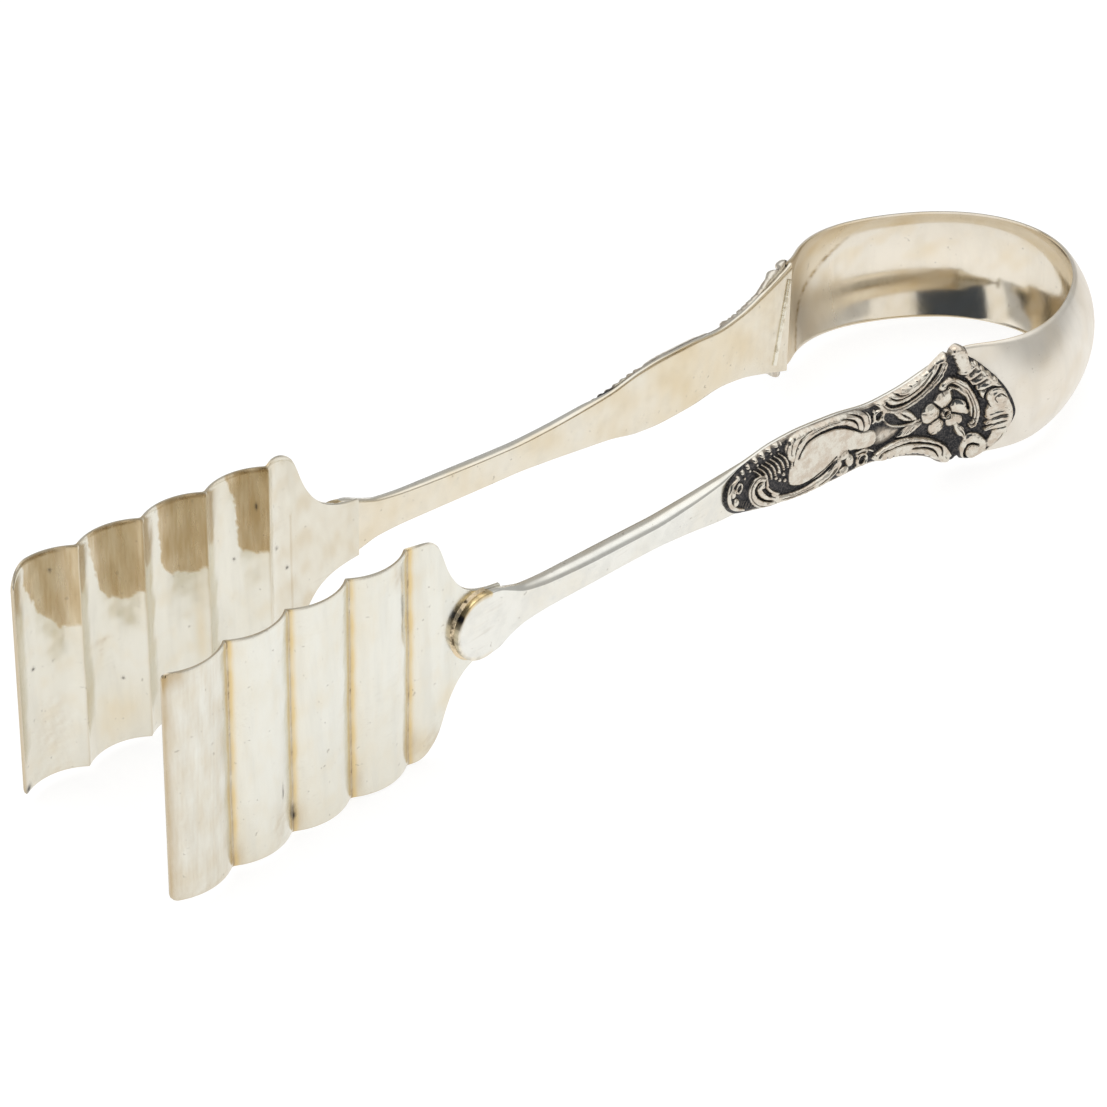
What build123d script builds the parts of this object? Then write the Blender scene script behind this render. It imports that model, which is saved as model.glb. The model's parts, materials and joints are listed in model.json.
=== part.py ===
from build123d import *
from math import acos, atan2, cos, degrees, radians, sin, sqrt, tan
import os

# Silver serving tongs: two fluted jaws on cast arms, joined by one domed spring band.
#
# Everything is drawn in the tongs' own frame first: +X runs from the jaw tips to the bow, the arms lie at
# +Y (right) and -Y (left), and +Z is across the width of the jaws. The right side is modelled and mirrored.
# At the end the tongs are tilted into the attitude in which they lie on a table, and that is the part's
# frame: origin under the middle of the bounding box, +X towards the bow, +Z up. Lengths are in millimetres.

# Jaws
TIP_X = 0.4
FLUTE_PITCH = 13.5
FLUTES = 4
FLUTE_RISE = 2.4           # how far each flute bulges outwards from the line of its ridges
BLADE_SHEET = 0.8
TIP_HALF_GAP = 19.6        # from the middle plane to the ridge line at the tip
BLADE_TAPER = 2.0          # degrees by which each jaw closes in towards the arms
PLATE_RISE = 1.4           # how far the flat plate stands out from the line of the ridges
BLADE_TOP = 21.2
BLADE_BOTTOM_TIP = -24.5
BLADE_BOTTOM_BACK = -23.0
TOP_CORNER = 4.5
BOTTOM_CORNER = 1.0
NECK_HALF_WIDTH = 5.9
BLADE_LENGTH = 75.0
UPPER_SHOULDER = [(59.2, 20.8), (62.0, 15.6), (66.6, 8.6)]
LOWER_SHOULDER = [(66.4, -8.6), (62.1, -14.6), (59.4, -20.2)]

# Arms
DISC_X = 70.3
DISC_RADIUS = 6.5
DISC_THICKNESS = 1.6
WAIST_X = 127.0            # where the arms come closest together
WAIST_HALF_GAP = 16.85
FRONT_BEND_RADIUS = 620.0  # of each arm's inner face, in front of the waist
BACK_BEND_RADIUS = 420.0   # and behind it
ARM_END = 190.5
BACK_PLATE = 0.8           # thickness of the arm behind its ornament
BACK_BEVEL = 0.12

# Station, half width, thickness and edge bevel of an arm, from its disc to the bow
ARM_STATIONS = [
    (70.3, 6.45, 1.60, 0.15),
    (73.5, 6.10, 1.62, 0.20),
    (76.5, 5.00, 1.75, 0.45),
    (80.5, 3.80, 2.20, 0.80),
    (87.0, 3.25, 2.70, 1.00),
    (99.0, 3.02, 3.10, 1.07),
    (112.0, 2.95, 3.05, 1.05),
    (121.0, 3.45, 2.75, 0.90),
    (130.0, 4.30, 2.20, 0.55),
    (137.0, 5.10, 1.00, 0.15),
    (145.0, 6.70, BACK_PLATE, BACK_BEVEL),
    (152.0, 7.20, BACK_PLATE, BACK_BEVEL),
    (160.0, 7.10, BACK_PLATE, BACK_BEVEL),
    (168.0, 6.50, BACK_PLATE, BACK_BEVEL),
    (175.0, 7.30, BACK_PLATE, BACK_BEVEL),
    (182.0, 9.20, BACK_PLATE, BACK_BEVEL),
    (ARM_END, 12.10, BACK_PLATE, BACK_BEVEL),
]

# Bow
BAND_HALF_WIDTH = 12.0
BAND_SHEET = 0.9
BAND_DOME = 4.6            # how far the middle of the band stands outside its rims
END_DOME = 0.4             # the same, where the band meets the arms
DOME_LENGTH = 17.0         # distance from the arm over which the dome grows
SOLDER_FILM = 0.12         # between the band and the pieces it is soldered to
CROWN_X = 237.3
BAND_OFFSET = 0.9          # the band meets the arm level with the arm's outer face
BOW_POINTS = [(196.0, 24.8), (203.0, 26.9), (211.0, 26.4), (219.0, 23.5), (227.0, 18.6), (234.2, 10.7)]
BOW_SECTIONS = 12          # in each half of the band

# Ornaments
ORNAMENT_SEAT = BACK_PLATE + 0.05   # its underside, above the arm's inner face
ORNAMENT_EDGE = 1.1        # thickness at the rim of the relief
ORNAMENT_CROWN = 0.5       # extra height of its middle
ORNAMENT_BEVEL = 1.1       # how much narrower its face is than its base, each side
TONGUE_EDGE = 0.9          # thickness at the rim where it laps over the band
NEARLY_FLAT = 0.02         # rise of the arc that stands for a flat underside

# Station, half width, underside and rim thickness of an ornament where it lies on the arm
ORNAMENT_ON_ARM = [
    (131.5, 3.2, 2.25, 0.30),
    (137.0, 5.1, 1.15, 0.90),
    (145.0, 6.7, ORNAMENT_SEAT, ORNAMENT_EDGE),
    (152.0, 7.2, ORNAMENT_SEAT, ORNAMENT_EDGE),
    (160.0, 7.1, ORNAMENT_SEAT, ORNAMENT_EDGE),
    (168.0, 6.5, ORNAMENT_SEAT, ORNAMENT_EDGE),
    (175.0, 7.3, ORNAMENT_SEAT, ORNAMENT_EDGE),
    (182.0, 9.2, ORNAMENT_SEAT, ORNAMENT_EDGE),
    (188.0, 12.2, ORNAMENT_SEAT, ORNAMENT_EDGE),
]
# Share of the bow's half length and half width, where the ornament laps over the band
ORNAMENT_ON_BOW = [(0.004, 12.4), (0.07, 10.7), (0.13, 8.3), (0.17, 5.6), (0.195, 2.8)]

# Solder
SOLDER_BEAD = 0.5
SOLDER_ARC = 200.0         # degrees of each disc's rim that carry a fillet
SEAM_SLANT = 12.0          # degrees by which the seam between arm and bow leans
SEAM_DISTANCE = 2.6        # from the end of the arm to the middle of the seam
SEAM_LENGTH = 18.0

# Effective flexing points of the bow: where each arm seems to pivot when the band bends
PIVOT_X = 228.0
PIVOT_Y = 16.0

TAPER_SLOPE = tan(radians(BLADE_TAPER))
TOP_TO_BOTTOM = 60.0       # longer than any outline is wide


def arm_inner(x):
    """Half the gap between the arms' inner faces at station x."""
    radius = FRONT_BEND_RADIUS if x < WAIST_X else BACK_BEND_RADIUS
    return WAIST_HALF_GAP + (x - WAIST_X) ** 2 / (2 * radius)


def arm_direction(x):
    radius = FRONT_BEND_RADIUS if x < WAIST_X else BACK_BEND_RADIUS
    return Vector(1, (x - WAIST_X) / radius, 0).normalized()


def plate_outer(x):
    """Distance of the jaw plate's outer face from the middle plane."""
    return TIP_HALF_GAP - TAPER_SLOPE * (x - TIP_X) + PLATE_RISE + BLADE_SHEET


def section_plane(x, y, along):
    """A plane across a piece: its x axis is up and its y axis points outwards."""
    return Plane(origin=(x, y, 0), x_dir=(0, 0, 1), z_dir=-along)


def strip_section(plane, inner_half, outer_half, dome, base, thickness, crown=0.0):
    """Cross-section of a domed strip, with an arc for each face and a straight edge on each side."""
    top = base + thickness
    return plane * make_face([
        ThreePointArc((-inner_half, base), (0, base + dome), (inner_half, base)),
        Line((inner_half, base), (outer_half, top)),
        ThreePointArc((outer_half, top), (0, top + dome + crown), (-outer_half, top)),
        Line((-outer_half, top), (-inner_half, base)),
    ])


# ---------------------------------------------------------------- jaws
def fluted_sheet():
    """The sheet in plan, its ridges on y = 0 and its flutes bulging to +y, extruded across the jaw."""
    half_pitch = FLUTE_PITCH / 2
    flute_radius = (half_pitch ** 2 + FLUTE_RISE ** 2) / (2 * FLUTE_RISE)
    groove = FLUTE_RISE - flute_radius + sqrt((flute_radius + BLADE_SHEET) ** 2 - half_pitch ** 2)
    last_ridge = FLUTES * FLUTE_PITCH

    # The plate leaves the last ridge as steeply as a flute does and levels out on a smaller arc.
    climb = acos((flute_radius - FLUTE_RISE) / flute_radius)
    turn_radius = PLATE_RISE / (1 - cos(climb))
    plate_start = last_ridge + turn_radius * sin(climb)
    plate_face = PLATE_RISE + BLADE_SHEET

    def turn_point(radius, angle):
        return (plate_start - radius * sin(angle), PLATE_RISE - turn_radius + radius * cos(angle))

    edges = []
    for flute in range(FLUTES):
        start = flute * FLUTE_PITCH
        middle = start + half_pitch
        end = start + FLUTE_PITCH
        edges.append(ThreePointArc((start, 0), (middle, FLUTE_RISE), (end, 0)))
        edges.append(ThreePointArc((start, groove), (middle, FLUTE_RISE + BLADE_SHEET), (end, groove)))
    inner_middle = turn_point(turn_radius, climb / 2)
    outer_middle = turn_point(turn_radius + BLADE_SHEET, climb / 2)
    edges.append(ThreePointArc((last_ridge, 0), inner_middle, (plate_start, PLATE_RISE)))
    edges.append(ThreePointArc((last_ridge, groove), outer_middle, (plate_start, plate_face)))
    edges.append(Line((plate_start, PLATE_RISE), (BLADE_LENGTH, PLATE_RISE)))
    edges.append(Line((plate_start, plate_face), (BLADE_LENGTH, plate_face)))
    edges.append(Line((0, 0), (0, groove)))
    edges.append(Line((BLADE_LENGTH, PLATE_RISE), (BLADE_LENGTH, plate_face)))
    return extrude(make_face(edges), TOP_TO_BOTTOM, both=True)


def jaw_outline():
    """The jaw seen from the side: a wide fluted part, sloping shoulders and a short neck."""
    back = FLUTES * FLUTE_PITCH
    neck_top = (BLADE_LENGTH, NECK_HALF_WIDTH)
    neck_bottom = (BLADE_LENGTH, -NECK_HALF_WIDTH)
    return make_face([
        Line((0, BLADE_BOTTOM_TIP + BOTTOM_CORNER), (0, BLADE_TOP - TOP_CORNER)),
        RadiusArc((0, BLADE_TOP - TOP_CORNER), (TOP_CORNER, BLADE_TOP), TOP_CORNER),
        Line((TOP_CORNER, BLADE_TOP), (back, BLADE_TOP)),
        Spline((back, BLADE_TOP), *UPPER_SHOULDER, neck_top, tangents=[(1, 0.35), (1, -0.12)]),
        Line(neck_top, neck_bottom),
        Spline(neck_bottom, *LOWER_SHOULDER, (back, BLADE_BOTTOM_BACK), tangents=[(-1, -0.12), (-1, -0.03)]),
        Line((back, BLADE_BOTTOM_BACK), (BOTTOM_CORNER, BLADE_BOTTOM_TIP)),
        RadiusArc((BOTTOM_CORNER, BLADE_BOTTOM_TIP), (0, BLADE_BOTTOM_TIP + BOTTOM_CORNER), BOTTOM_CORNER),
    ])


def make_blade():
    window = extrude(Plane.XZ * jaw_outline(), TOP_TO_BOTTOM, both=True)
    return Pos(TIP_X, TIP_HALF_GAP, 0) * Rot(0, 0, -BLADE_TAPER) * (fluted_sheet() & window)


# ---------------------------------------------------------------- arms
def arm_section(x, half_width, thickness, bevel):
    """A flat inner face, two short sides, two bevels and a flat outer face."""
    face_half = half_width - bevel
    side = thickness - bevel
    outline = Polyline(
        (-half_width, 0), (half_width, 0), (half_width, side), (face_half, thickness),
        (-face_half, thickness), (-half_width, side), (-half_width, 0),
    )
    lies_on_jaw = x < TIP_X + BLADE_LENGTH
    if lies_on_jaw:
        plane = section_plane(x, plate_outer(x), Vector(1, -TAPER_SLOPE, 0).normalized())
    else:
        plane = section_plane(x, arm_inner(x), arm_direction(x))
    return plane * make_face(outline)


def disc_plane():
    """On the jaw plate's outer face, at the centre of the disc, facing outwards."""
    return Plane(origin=(DISC_X, plate_outer(DISC_X), 0), x_dir=(0, 0, 1), z_dir=(TAPER_SLOPE, 1, 0))


def make_arm(blade):
    shank = loft([arm_section(*station) for station in ARM_STATIONS])
    disc = disc_plane() * extrude(Circle(DISC_RADIUS), DISC_THICKNESS)
    return shank + disc - blade


# ---------------------------------------------------------------- bow
def bow_half_path():
    """The band's inner rim in plan, from the right arm's end to the crown."""
    along = arm_direction(ARM_END)
    start = Vector(ARM_END, arm_inner(ARM_END) + BAND_OFFSET) + along * SOLDER_FILM
    return Spline(start, *BOW_POINTS, (CROWN_X, 0), tangents=[along, (0, -1)])


def dome_at(distance):
    """The band is nearly flat where it leaves the arm and takes up its full dome near the shoulder."""
    share = min(distance / DOME_LENGTH, 1.0)
    return END_DOME + (BAND_DOME - END_DOME) * share * share * (3 - 2 * share)


def band_plane(path, share):
    point = path @ share
    return section_plane(point.X, point.Y, path % share)


def make_bow():
    """The right half is lofted from the arm's end to the crown and joined to its mirror image."""
    path = bow_half_path()
    sections = []
    for index in range(BOW_SECTIONS + 1):
        share = index / BOW_SECTIONS
        dome = dome_at(share * path.length)
        plane = band_plane(path, share)
        sections.append(strip_section(plane, BAND_HALF_WIDTH, BAND_HALF_WIDTH, dome, 0, BAND_SHEET))
    half = loft(sections).solid()
    return half.fuse(mirror(half, about=Plane.XZ).solid())


# ---------------------------------------------------------------- ornaments
def make_ornament(arm, bow):
    """The relief's solid: flat on the back plate, then a rounded tongue that laps over the band."""
    sections = []
    for x, half_width, base, edge in ORNAMENT_ON_ARM:
        plane = section_plane(x, arm_inner(x), arm_direction(x))
        face_half = half_width - ORNAMENT_BEVEL
        sections.append(strip_section(plane, half_width, face_half, NEARLY_FLAT, base, edge, ORNAMENT_CROWN))
    path = bow_half_path()
    for share, half_width in ORNAMENT_ON_BOW:
        band_dome = dome_at(share * path.length)
        dome = band_dome * (half_width / BAND_HALF_WIDTH) ** 2
        base = BAND_SHEET + 2 * SOLDER_FILM + band_dome - dome
        face_half = half_width - ORNAMENT_BEVEL
        plane = band_plane(path, share)
        sections.append(strip_section(plane, half_width, face_half, dome, base, TONGUE_EDGE, ORNAMENT_CROWN))
    return loft(sections) - arm - bow


# ---------------------------------------------------------------- solder
def make_blade_solder(arm, blade):
    """A fillet of solder on the jaw plate, round the front of the disc."""
    corner = Plane.XZ * make_face(Polyline(
        (DISC_RADIUS, 0), (DISC_RADIUS + SOLDER_BEAD, 0), (DISC_RADIUS, SOLDER_BEAD), (DISC_RADIUS, 0)
    ))
    fillet = revolve(corner, Axis.Z, revolution_arc=SOLDER_ARC)
    return disc_plane() * Rot(0, 0, 270 - SOLDER_ARC / 2) * fillet - arm - blade


def make_bow_solder(arm):
    """A low bead on the arm's inner face, along the slanting seam beside the bow."""
    x = ARM_END - SEAM_DISTANCE
    turn = degrees(atan2(arm_direction(x).Y, arm_direction(x).X))
    bead = Rot(0, SEAM_SLANT, 0) * Cylinder(SOLDER_BEAD, SEAM_LENGTH)
    return Pos(x, arm_inner(x), 0) * Rot(0, 0, turn) * bead - arm


# ---------------------------------------------------------------- assembly
def rest_tilt():
    """The angle about Y that brings the jaws' lower back corners level with the bow's lower rim."""
    jaw_corner = (TIP_X + FLUTES * FLUTE_PITCH, BLADE_BOTTOM_BACK)
    bow_rim = (CROWN_X + BAND_SHEET, -BAND_HALF_WIDTH)
    return degrees(atan2(bow_rim[1] - jaw_corner[1], bow_rim[0] - jaw_corner[0]))


bow = make_bow()
blade = make_blade()
arm = make_arm(blade)
right_side = {
    "blade": blade,
    "arm": arm,
    "ornament": make_ornament(arm, bow),
    "blade_solder": make_blade_solder(arm, blade),
    "bow_solder": make_bow_solder(arm),
}
nodes = {"bow": bow}
for name, piece in right_side.items():
    nodes["right_" + name] = piece
    nodes["left_" + name] = mirror(piece, about=Plane.XZ)

tilt = Rot(0, rest_tilt(), 0)
box = Compound([tilt * piece for piece in nodes.values()]).bounding_box()
to_rest = Pos(-box.center().X, -box.center().Y, -box.min.Z) * tilt

os.makedirs("parts", exist_ok=True)
for name, piece in nodes.items():
    export_step(to_rest * piece, f"parts/{name}.step")
    print(name, round(piece.volume, 1), len(piece.solids()), piece.is_valid)
print("size", box.size)
print("pivots at y = +/-", PIVOT_Y, "and", (to_rest * Pos(PIVOT_X, 0, 0)).position)
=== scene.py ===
import json
import math

import bmesh
import bpy
import numpy as np
from mathutils import Matrix


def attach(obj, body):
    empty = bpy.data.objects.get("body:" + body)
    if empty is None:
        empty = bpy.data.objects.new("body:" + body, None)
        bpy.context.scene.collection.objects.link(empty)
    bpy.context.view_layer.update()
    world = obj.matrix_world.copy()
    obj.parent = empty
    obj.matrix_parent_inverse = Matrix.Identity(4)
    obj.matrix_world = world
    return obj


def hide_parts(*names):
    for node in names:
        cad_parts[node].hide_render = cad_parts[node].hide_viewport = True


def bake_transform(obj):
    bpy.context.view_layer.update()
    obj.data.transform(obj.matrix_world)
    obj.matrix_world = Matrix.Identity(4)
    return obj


# Antique silver serving tongs. Shapes are drawn in the tongs' own frame, in millimetres, and placed by the
# frame's hinge: +X runs from the jaw tips to the bow, +Y is across to the right arm, +Z across the jaws.
# The right side is drawn and the left is its mirror image.

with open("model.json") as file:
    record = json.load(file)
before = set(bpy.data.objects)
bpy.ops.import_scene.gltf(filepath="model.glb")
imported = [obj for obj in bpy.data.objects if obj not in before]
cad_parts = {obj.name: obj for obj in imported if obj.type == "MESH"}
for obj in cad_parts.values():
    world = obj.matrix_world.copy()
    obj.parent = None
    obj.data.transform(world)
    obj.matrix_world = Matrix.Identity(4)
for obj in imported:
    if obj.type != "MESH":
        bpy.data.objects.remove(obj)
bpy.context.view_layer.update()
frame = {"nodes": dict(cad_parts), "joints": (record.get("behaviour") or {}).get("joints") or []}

MM = 0.001
SEED = 7
SIDES = {"right": 1.0, "left": -1.0}

# ---------------------------------------------------------------- place of the tongs in the frame
PIVOT = np.array([228.0, 16.0, 0.0])   # the right hinge in the tongs' own frame
hinge = next(joint for joint in frame["joints"] if joint["name"] == "right_squeeze")
HINGE_AT = np.array(hinge["pos_m"])
UP = np.array(hinge["axis"]) / np.linalg.norm(hinge["axis"])
ACROSS = np.array([0.0, 1.0, 0.0])
ALONG = np.cross(ACROSS, UP)


def to_row(points):
    """Millimetres in the tongs' own frame to metres in the row's frame."""
    offset = (np.asarray(points, float) - PIVOT) * MM
    return HINGE_AT + offset[..., :1] * ALONG + offset[..., 1:2] * ACROSS + offset[..., 2:3] * UP


# ---------------------------------------------------------------- driving sizes, as in the CAD
TIP_X = 0.4
FLUTE_PITCH = 13.5
FLUTES = 4
FLUTE_RISE = 2.4
BLADE_SHEET = 0.8
TIP_HALF_GAP = 19.6
BLADE_TAPER = math.radians(2.0)
PLATE_RISE = 1.4
BLADE_TOP = 21.19         # a hair under the CAD's 21.2, so that the mesh stays inside it
BLADE_BOTTOM_TIP = -24.5
BLADE_BOTTOM_BACK = -23.0
BOTTOM_CORNER = 1.0
TOP_CORNERS = {"right": 4.5, "left": 1.2}
TOP_FALL = 0.08           # fall of a top edge towards its front, for each millimetre its corner is sharper
TOP_FALL_LENGTH = 14.0
BLADE_LENGTH = 75.0
FLUTES_END = FLUTES * FLUTE_PITCH
UPPER_SHOULDER = [(FLUTES_END, BLADE_TOP), (59.2, 20.8), (62.0, 15.6), (66.6, 8.6), (BLADE_LENGTH, 5.9)]
LOWER_SHOULDER = [
    (FLUTES_END, BLADE_BOTTOM_BACK), (59.4, -20.2), (62.1, -14.6), (66.4, -8.6), (BLADE_LENGTH, -5.9),
]

DISC_X = 70.3
DISC_RADIUS = 6.5
WAIST_X = 127.0
WAIST_HALF_GAP = 16.85
FRONT_BEND_RADIUS = 620.0
BACK_BEND_RADIUS = 420.0
ARM_END = 190.5
BACK_PLATE = 0.8
# Station, half width, thickness and edge bevel of an arm
ARM_STATIONS = np.array([
    (70.3, 6.45, 1.60, 0.15),
    (73.5, 6.10, 1.62, 0.20),
    (76.5, 5.00, 1.75, 0.45),
    (80.5, 3.80, 2.20, 0.80),
    (87.0, 3.25, 2.70, 1.00),
    (99.0, 3.02, 3.10, 1.07),
    (112.0, 2.95, 3.05, 1.05),
    (121.0, 3.45, 2.75, 0.90),
    (130.0, 4.30, 2.20, 0.55),
    (137.0, 5.10, 1.00, 0.15),
    *((station, half_width, BACK_PLATE, 0.12) for station, half_width in (
        (145.0, 6.7), (152.0, 7.2), (160.0, 7.1), (168.0, 6.5), (175.0, 7.3), (182.0, 9.2), (ARM_END, 12.1),
    )),
])

BAND_HALF_WIDTH = 12.0
BAND_SHEET = 0.9
BAND_DOME = 4.6
END_DOME = 0.4
DOME_LENGTH = 17.0
SOLDER_FILM = 0.12
CROWN_X = 237.3
BAND_OFFSET = 0.9
BOW_POINTS = [(196.0, 24.8), (203.0, 26.9), (211.0, 26.4), (219.0, 23.5), (227.0, 18.6), (234.2, 10.7)]

# Steps and counts of the meshes
JAW_STEP = 0.25
JAW_COLUMNS = 96
PROFILE_STEP = 0.05
ARM_STEP = 0.45
BOW_STATIONS = 190
BOW_COLUMNS = 72
RELIEF_STEP = 0.14
RELIEF_COLUMNS = 168


# ---------------------------------------------------------------- curves
def smooth_step(low, high, value):
    share = np.clip((value - low) / (high - low), 0.0, 1.0)
    return share * share * (3.0 - 2.0 * share)


def hermite(t, length, start, end, start_slope, end_slope):
    """The cubic from start to end, at shares t of its length, with those slopes at its ends."""
    return (
        (2 * t ** 3 - 3 * t ** 2 + 1) * start + (t ** 3 - 2 * t ** 2 + t) * length * start_slope
        + (3 * t ** 2 - 2 * t ** 3) * end + (t ** 3 - t ** 2) * length * end_slope
    )


def spline(points, start=None, end=None, count=400):
    """Dense points on the cubic spline through points, with given end directions or free ends."""
    points = np.asarray(points, float)
    knots = np.concatenate([[0.0], np.cumsum(np.linalg.norm(np.diff(points, axis=0), axis=1))])
    gaps = np.diff(knots)
    size = len(points)
    matrix = np.zeros((size, size))
    right_side = np.zeros_like(points)
    slopes = np.diff(points, axis=0) / gaps[:, None]
    for i in range(1, size - 1):
        matrix[i, i - 1:i + 2] = gaps[i], 2 * (gaps[i - 1] + gaps[i]), gaps[i - 1]
        right_side[i] = 3 * (gaps[i] * slopes[i - 1] + gaps[i - 1] * slopes[i])
    for row, beside, direction, slope in ((0, 1, start, slopes[0]), (size - 1, size - 2, end, slopes[-1])):
        if direction is None:
            matrix[row, row], matrix[row, beside] = 2.0, 1.0
            right_side[row] = 3 * slope
        else:
            matrix[row, row] = 1.0
            right_side[row] = direction
    tangents = np.linalg.solve(matrix, right_side)
    at = np.linspace(0.0, knots[-1], count)
    i = np.clip(np.searchsorted(knots, at, side="right") - 1, 0, size - 2)
    t = ((at - knots[i]) / gaps[i])[:, None]
    return hermite(t, gaps[i][:, None], points[i], points[i + 1], tangents[i], tangents[i + 1])


def eased(x, stations, values):
    """Values between stations on smooth slopes that never overshoot."""
    slopes = np.diff(values) / np.diff(stations)
    tangents = np.zeros(len(values))
    same = slopes[:-1] * slopes[1:] > 0
    tangents[1:-1][same] = 2 * slopes[:-1][same] * slopes[1:][same] / (slopes[:-1] + slopes[1:])[same]
    tangents[0], tangents[-1] = slopes[0], slopes[-1]
    i = np.clip(np.searchsorted(stations, x, side="right") - 1, 0, len(values) - 2)
    gap = stations[i + 1] - stations[i]
    return hermite((x - stations[i]) / gap, gap, values[i], values[i + 1], tangents[i], tangents[i + 1])


def crowded_start(start, end, count):
    """Numbers from start to end, closer together near the start."""
    return start + (end - start) * (1 - np.cos(math.pi / 2 * np.linspace(0.0, 1.0, count)))


def crowded_end(start, end, count):
    """Numbers from start to end, closer together near the end."""
    return start + (end - start) * np.sin(math.pi / 2 * np.linspace(0.0, 1.0, count))


def arc_height(distance, half_chord, rise, extra=0.0):
    """Height of an arc of that half chord and rise, or of the arc that lies extra outside it."""
    radius = (half_chord ** 2 + rise ** 2) / (2 * rise)
    return rise - radius + np.sqrt(np.maximum((radius + extra) ** 2 - distance ** 2, 0.0))


def band(values, centre, width):
    """One at the centre, falling smoothly to nought beyond the width on both sides of it."""
    return np.exp(-(((values - centre) / width) ** 2))


def softened(values, step, reach):
    """Values blurred along their first axis, which rounds sharp corners."""
    width = int(3 * reach / step)
    kernel = np.exp(-0.5 * (np.arange(-width, width + 1) * step / reach) ** 2)
    padded = np.pad(values, width, mode="edge")
    return np.convolve(padded, kernel / kernel.sum(), mode="valid")


# ---------------------------------------------------------------- meshes
WELD = 1e-7
SHARP_ANGLE = math.radians(50)


def skin(sections):
    """Points and faces of a closed skin over a row of closed loops, each with the same number of points."""
    rows, columns = sections.shape[:2]
    index = np.arange(rows * columns).reshape(rows, columns)
    beside = np.roll(index, -1, axis=1)
    quads = np.stack([index[:-1], beside[:-1], beside[1:], index[1:]], axis=-1).reshape(-1, 4)
    caps = [index[0][::-1].tolist(), index[-1].tolist()]
    return sections.reshape(-1, 3), quads.tolist() + caps


def add_piece(name, points, faces, side, material, attributes):
    """A smooth closed mesh from points in the tongs' own frame, mirrored for the left side."""
    placed = to_row(points * np.array([1.0, side, 1.0]))
    mesh = bpy.data.meshes.new(name)
    mesh.from_pydata(placed.tolist(), [], faces)
    for key, values in attributes.items():
        layer = mesh.attributes.new(key, "FLOAT", "POINT")
        layer.data.foreach_set("value", np.asarray(values, np.float32).ravel())
    shell = bmesh.new()
    shell.from_mesh(mesh)
    bmesh.ops.remove_doubles(shell, verts=shell.verts, dist=WELD)
    bmesh.ops.recalc_face_normals(shell, faces=shell.faces)
    shell.to_mesh(mesh)
    shell.free()
    mesh.shade_smooth()
    mesh.set_sharp_from_angle(angle=SHARP_ANGLE)
    piece = bpy.data.objects.new(name, mesh)
    bpy.context.scene.collection.objects.link(piece)
    mesh.materials.append(material)
    return piece


def stand_for(piece, node, body):
    """Lets a piece ride on a body in place of a CAD node."""
    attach(piece, body)
    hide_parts(node)


# ---------------------------------------------------------------- noise on points
def wave_noise(x, y, scale, seed, octaves=3):
    """A smooth repeatable noise, about -1 to 1, made of a few crossed waves for each octave."""
    source = np.random.default_rng(SEED + seed)
    total = np.zeros_like(x)
    weight = 0.0
    for octave in range(octaves):
        size = scale / 1.9 ** octave
        amount = 0.6 ** octave
        for _ in range(5):
            angle = source.uniform(0, 2 * math.pi)
            stretch = source.uniform(0.7, 1.4) * 2 * math.pi / size
            phase = source.uniform(0, 2 * math.pi)
            total += amount * np.sin((x * math.cos(angle) + y * math.sin(angle)) * stretch + phase)
        weight += amount * 2.2
    return total / weight


# ---------------------------------------------------------------- materials
def new_material(name):
    material = bpy.data.materials.new(name)
    material.use_nodes = True
    tree = material.node_tree
    shader = tree.nodes["Principled BSDF"]
    return material, tree, shader


def node(tree, kind, **settings):
    made = tree.nodes.new(kind)
    for key, value in settings.items():
        if key in made.inputs:
            made.inputs[key].default_value = value
        else:
            setattr(made, key, value)
    return made


def mix_colour(tree, factor, first, second):
    """A colour mix: factor and each colour is a socket or a plain value."""
    mix = tree.nodes.new("ShaderNodeMix")
    mix.data_type = "RGBA"
    for socket, value in ((mix.inputs[0], factor), (mix.inputs[6], first), (mix.inputs[7], second)):
        if isinstance(value, bpy.types.NodeSocket):
            tree.links.new(value, socket)
        elif isinstance(value, float):
            socket.default_value = value
        else:
            socket.default_value = (*value, 1.0)
    return mix.outputs[2]


def ramp(tree, value, low, high, from_value=0.0, to_value=1.0):
    """A smooth map of a socket's value from low..high to from_value..to_value."""
    made = node(tree, "ShaderNodeMapRange", interpolation_type="SMOOTHSTEP")
    made.inputs["From Min"].default_value = low
    made.inputs["From Max"].default_value = high
    made.inputs["To Min"].default_value = from_value
    made.inputs["To Max"].default_value = to_value
    tree.links.new(value, made.inputs["Value"])
    return made.outputs["Result"]


def calculate(tree, operation, first, second):
    """Two sockets or plain values put together by a Math node."""
    made = node(tree, "ShaderNodeMath", operation=operation)
    for socket, value in zip(made.inputs, (first, second)):
        if isinstance(value, bpy.types.NodeSocket):
            tree.links.new(value, socket)
        else:
            socket.default_value = value
    return made.outputs[0]


def noise(tree, scale, detail, stretch=(1.0, 1.0, 1.0), roughness=0.55, turn=(0.0, 0.0, 0.0)):
    """Noise in the row's metres, turned and then stretched along the axes."""
    place = node(tree, "ShaderNodeTexCoord")
    mapping = node(tree, "ShaderNodeMapping")
    mapping.inputs["Scale"].default_value = stretch
    mapping.inputs["Rotation"].default_value = turn
    tree.links.new(place.outputs["Object"], mapping.inputs["Vector"])
    made = node(tree, "ShaderNodeTexNoise", Scale=scale, Detail=detail, Roughness=roughness)
    tree.links.new(mapping.outputs["Vector"], made.inputs["Vector"])
    return made.outputs["Fac"]


def bump(tree, height, strength, distance):
    """A bump node of a height socket."""
    made = node(tree, "ShaderNodeBump", Strength=strength, Distance=distance)
    tree.links.new(height, made.inputs["Height"])
    return made


def attribute(tree, name):
    return node(tree, "ShaderNodeAttribute", attribute_name=name).outputs["Fac"]


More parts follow.
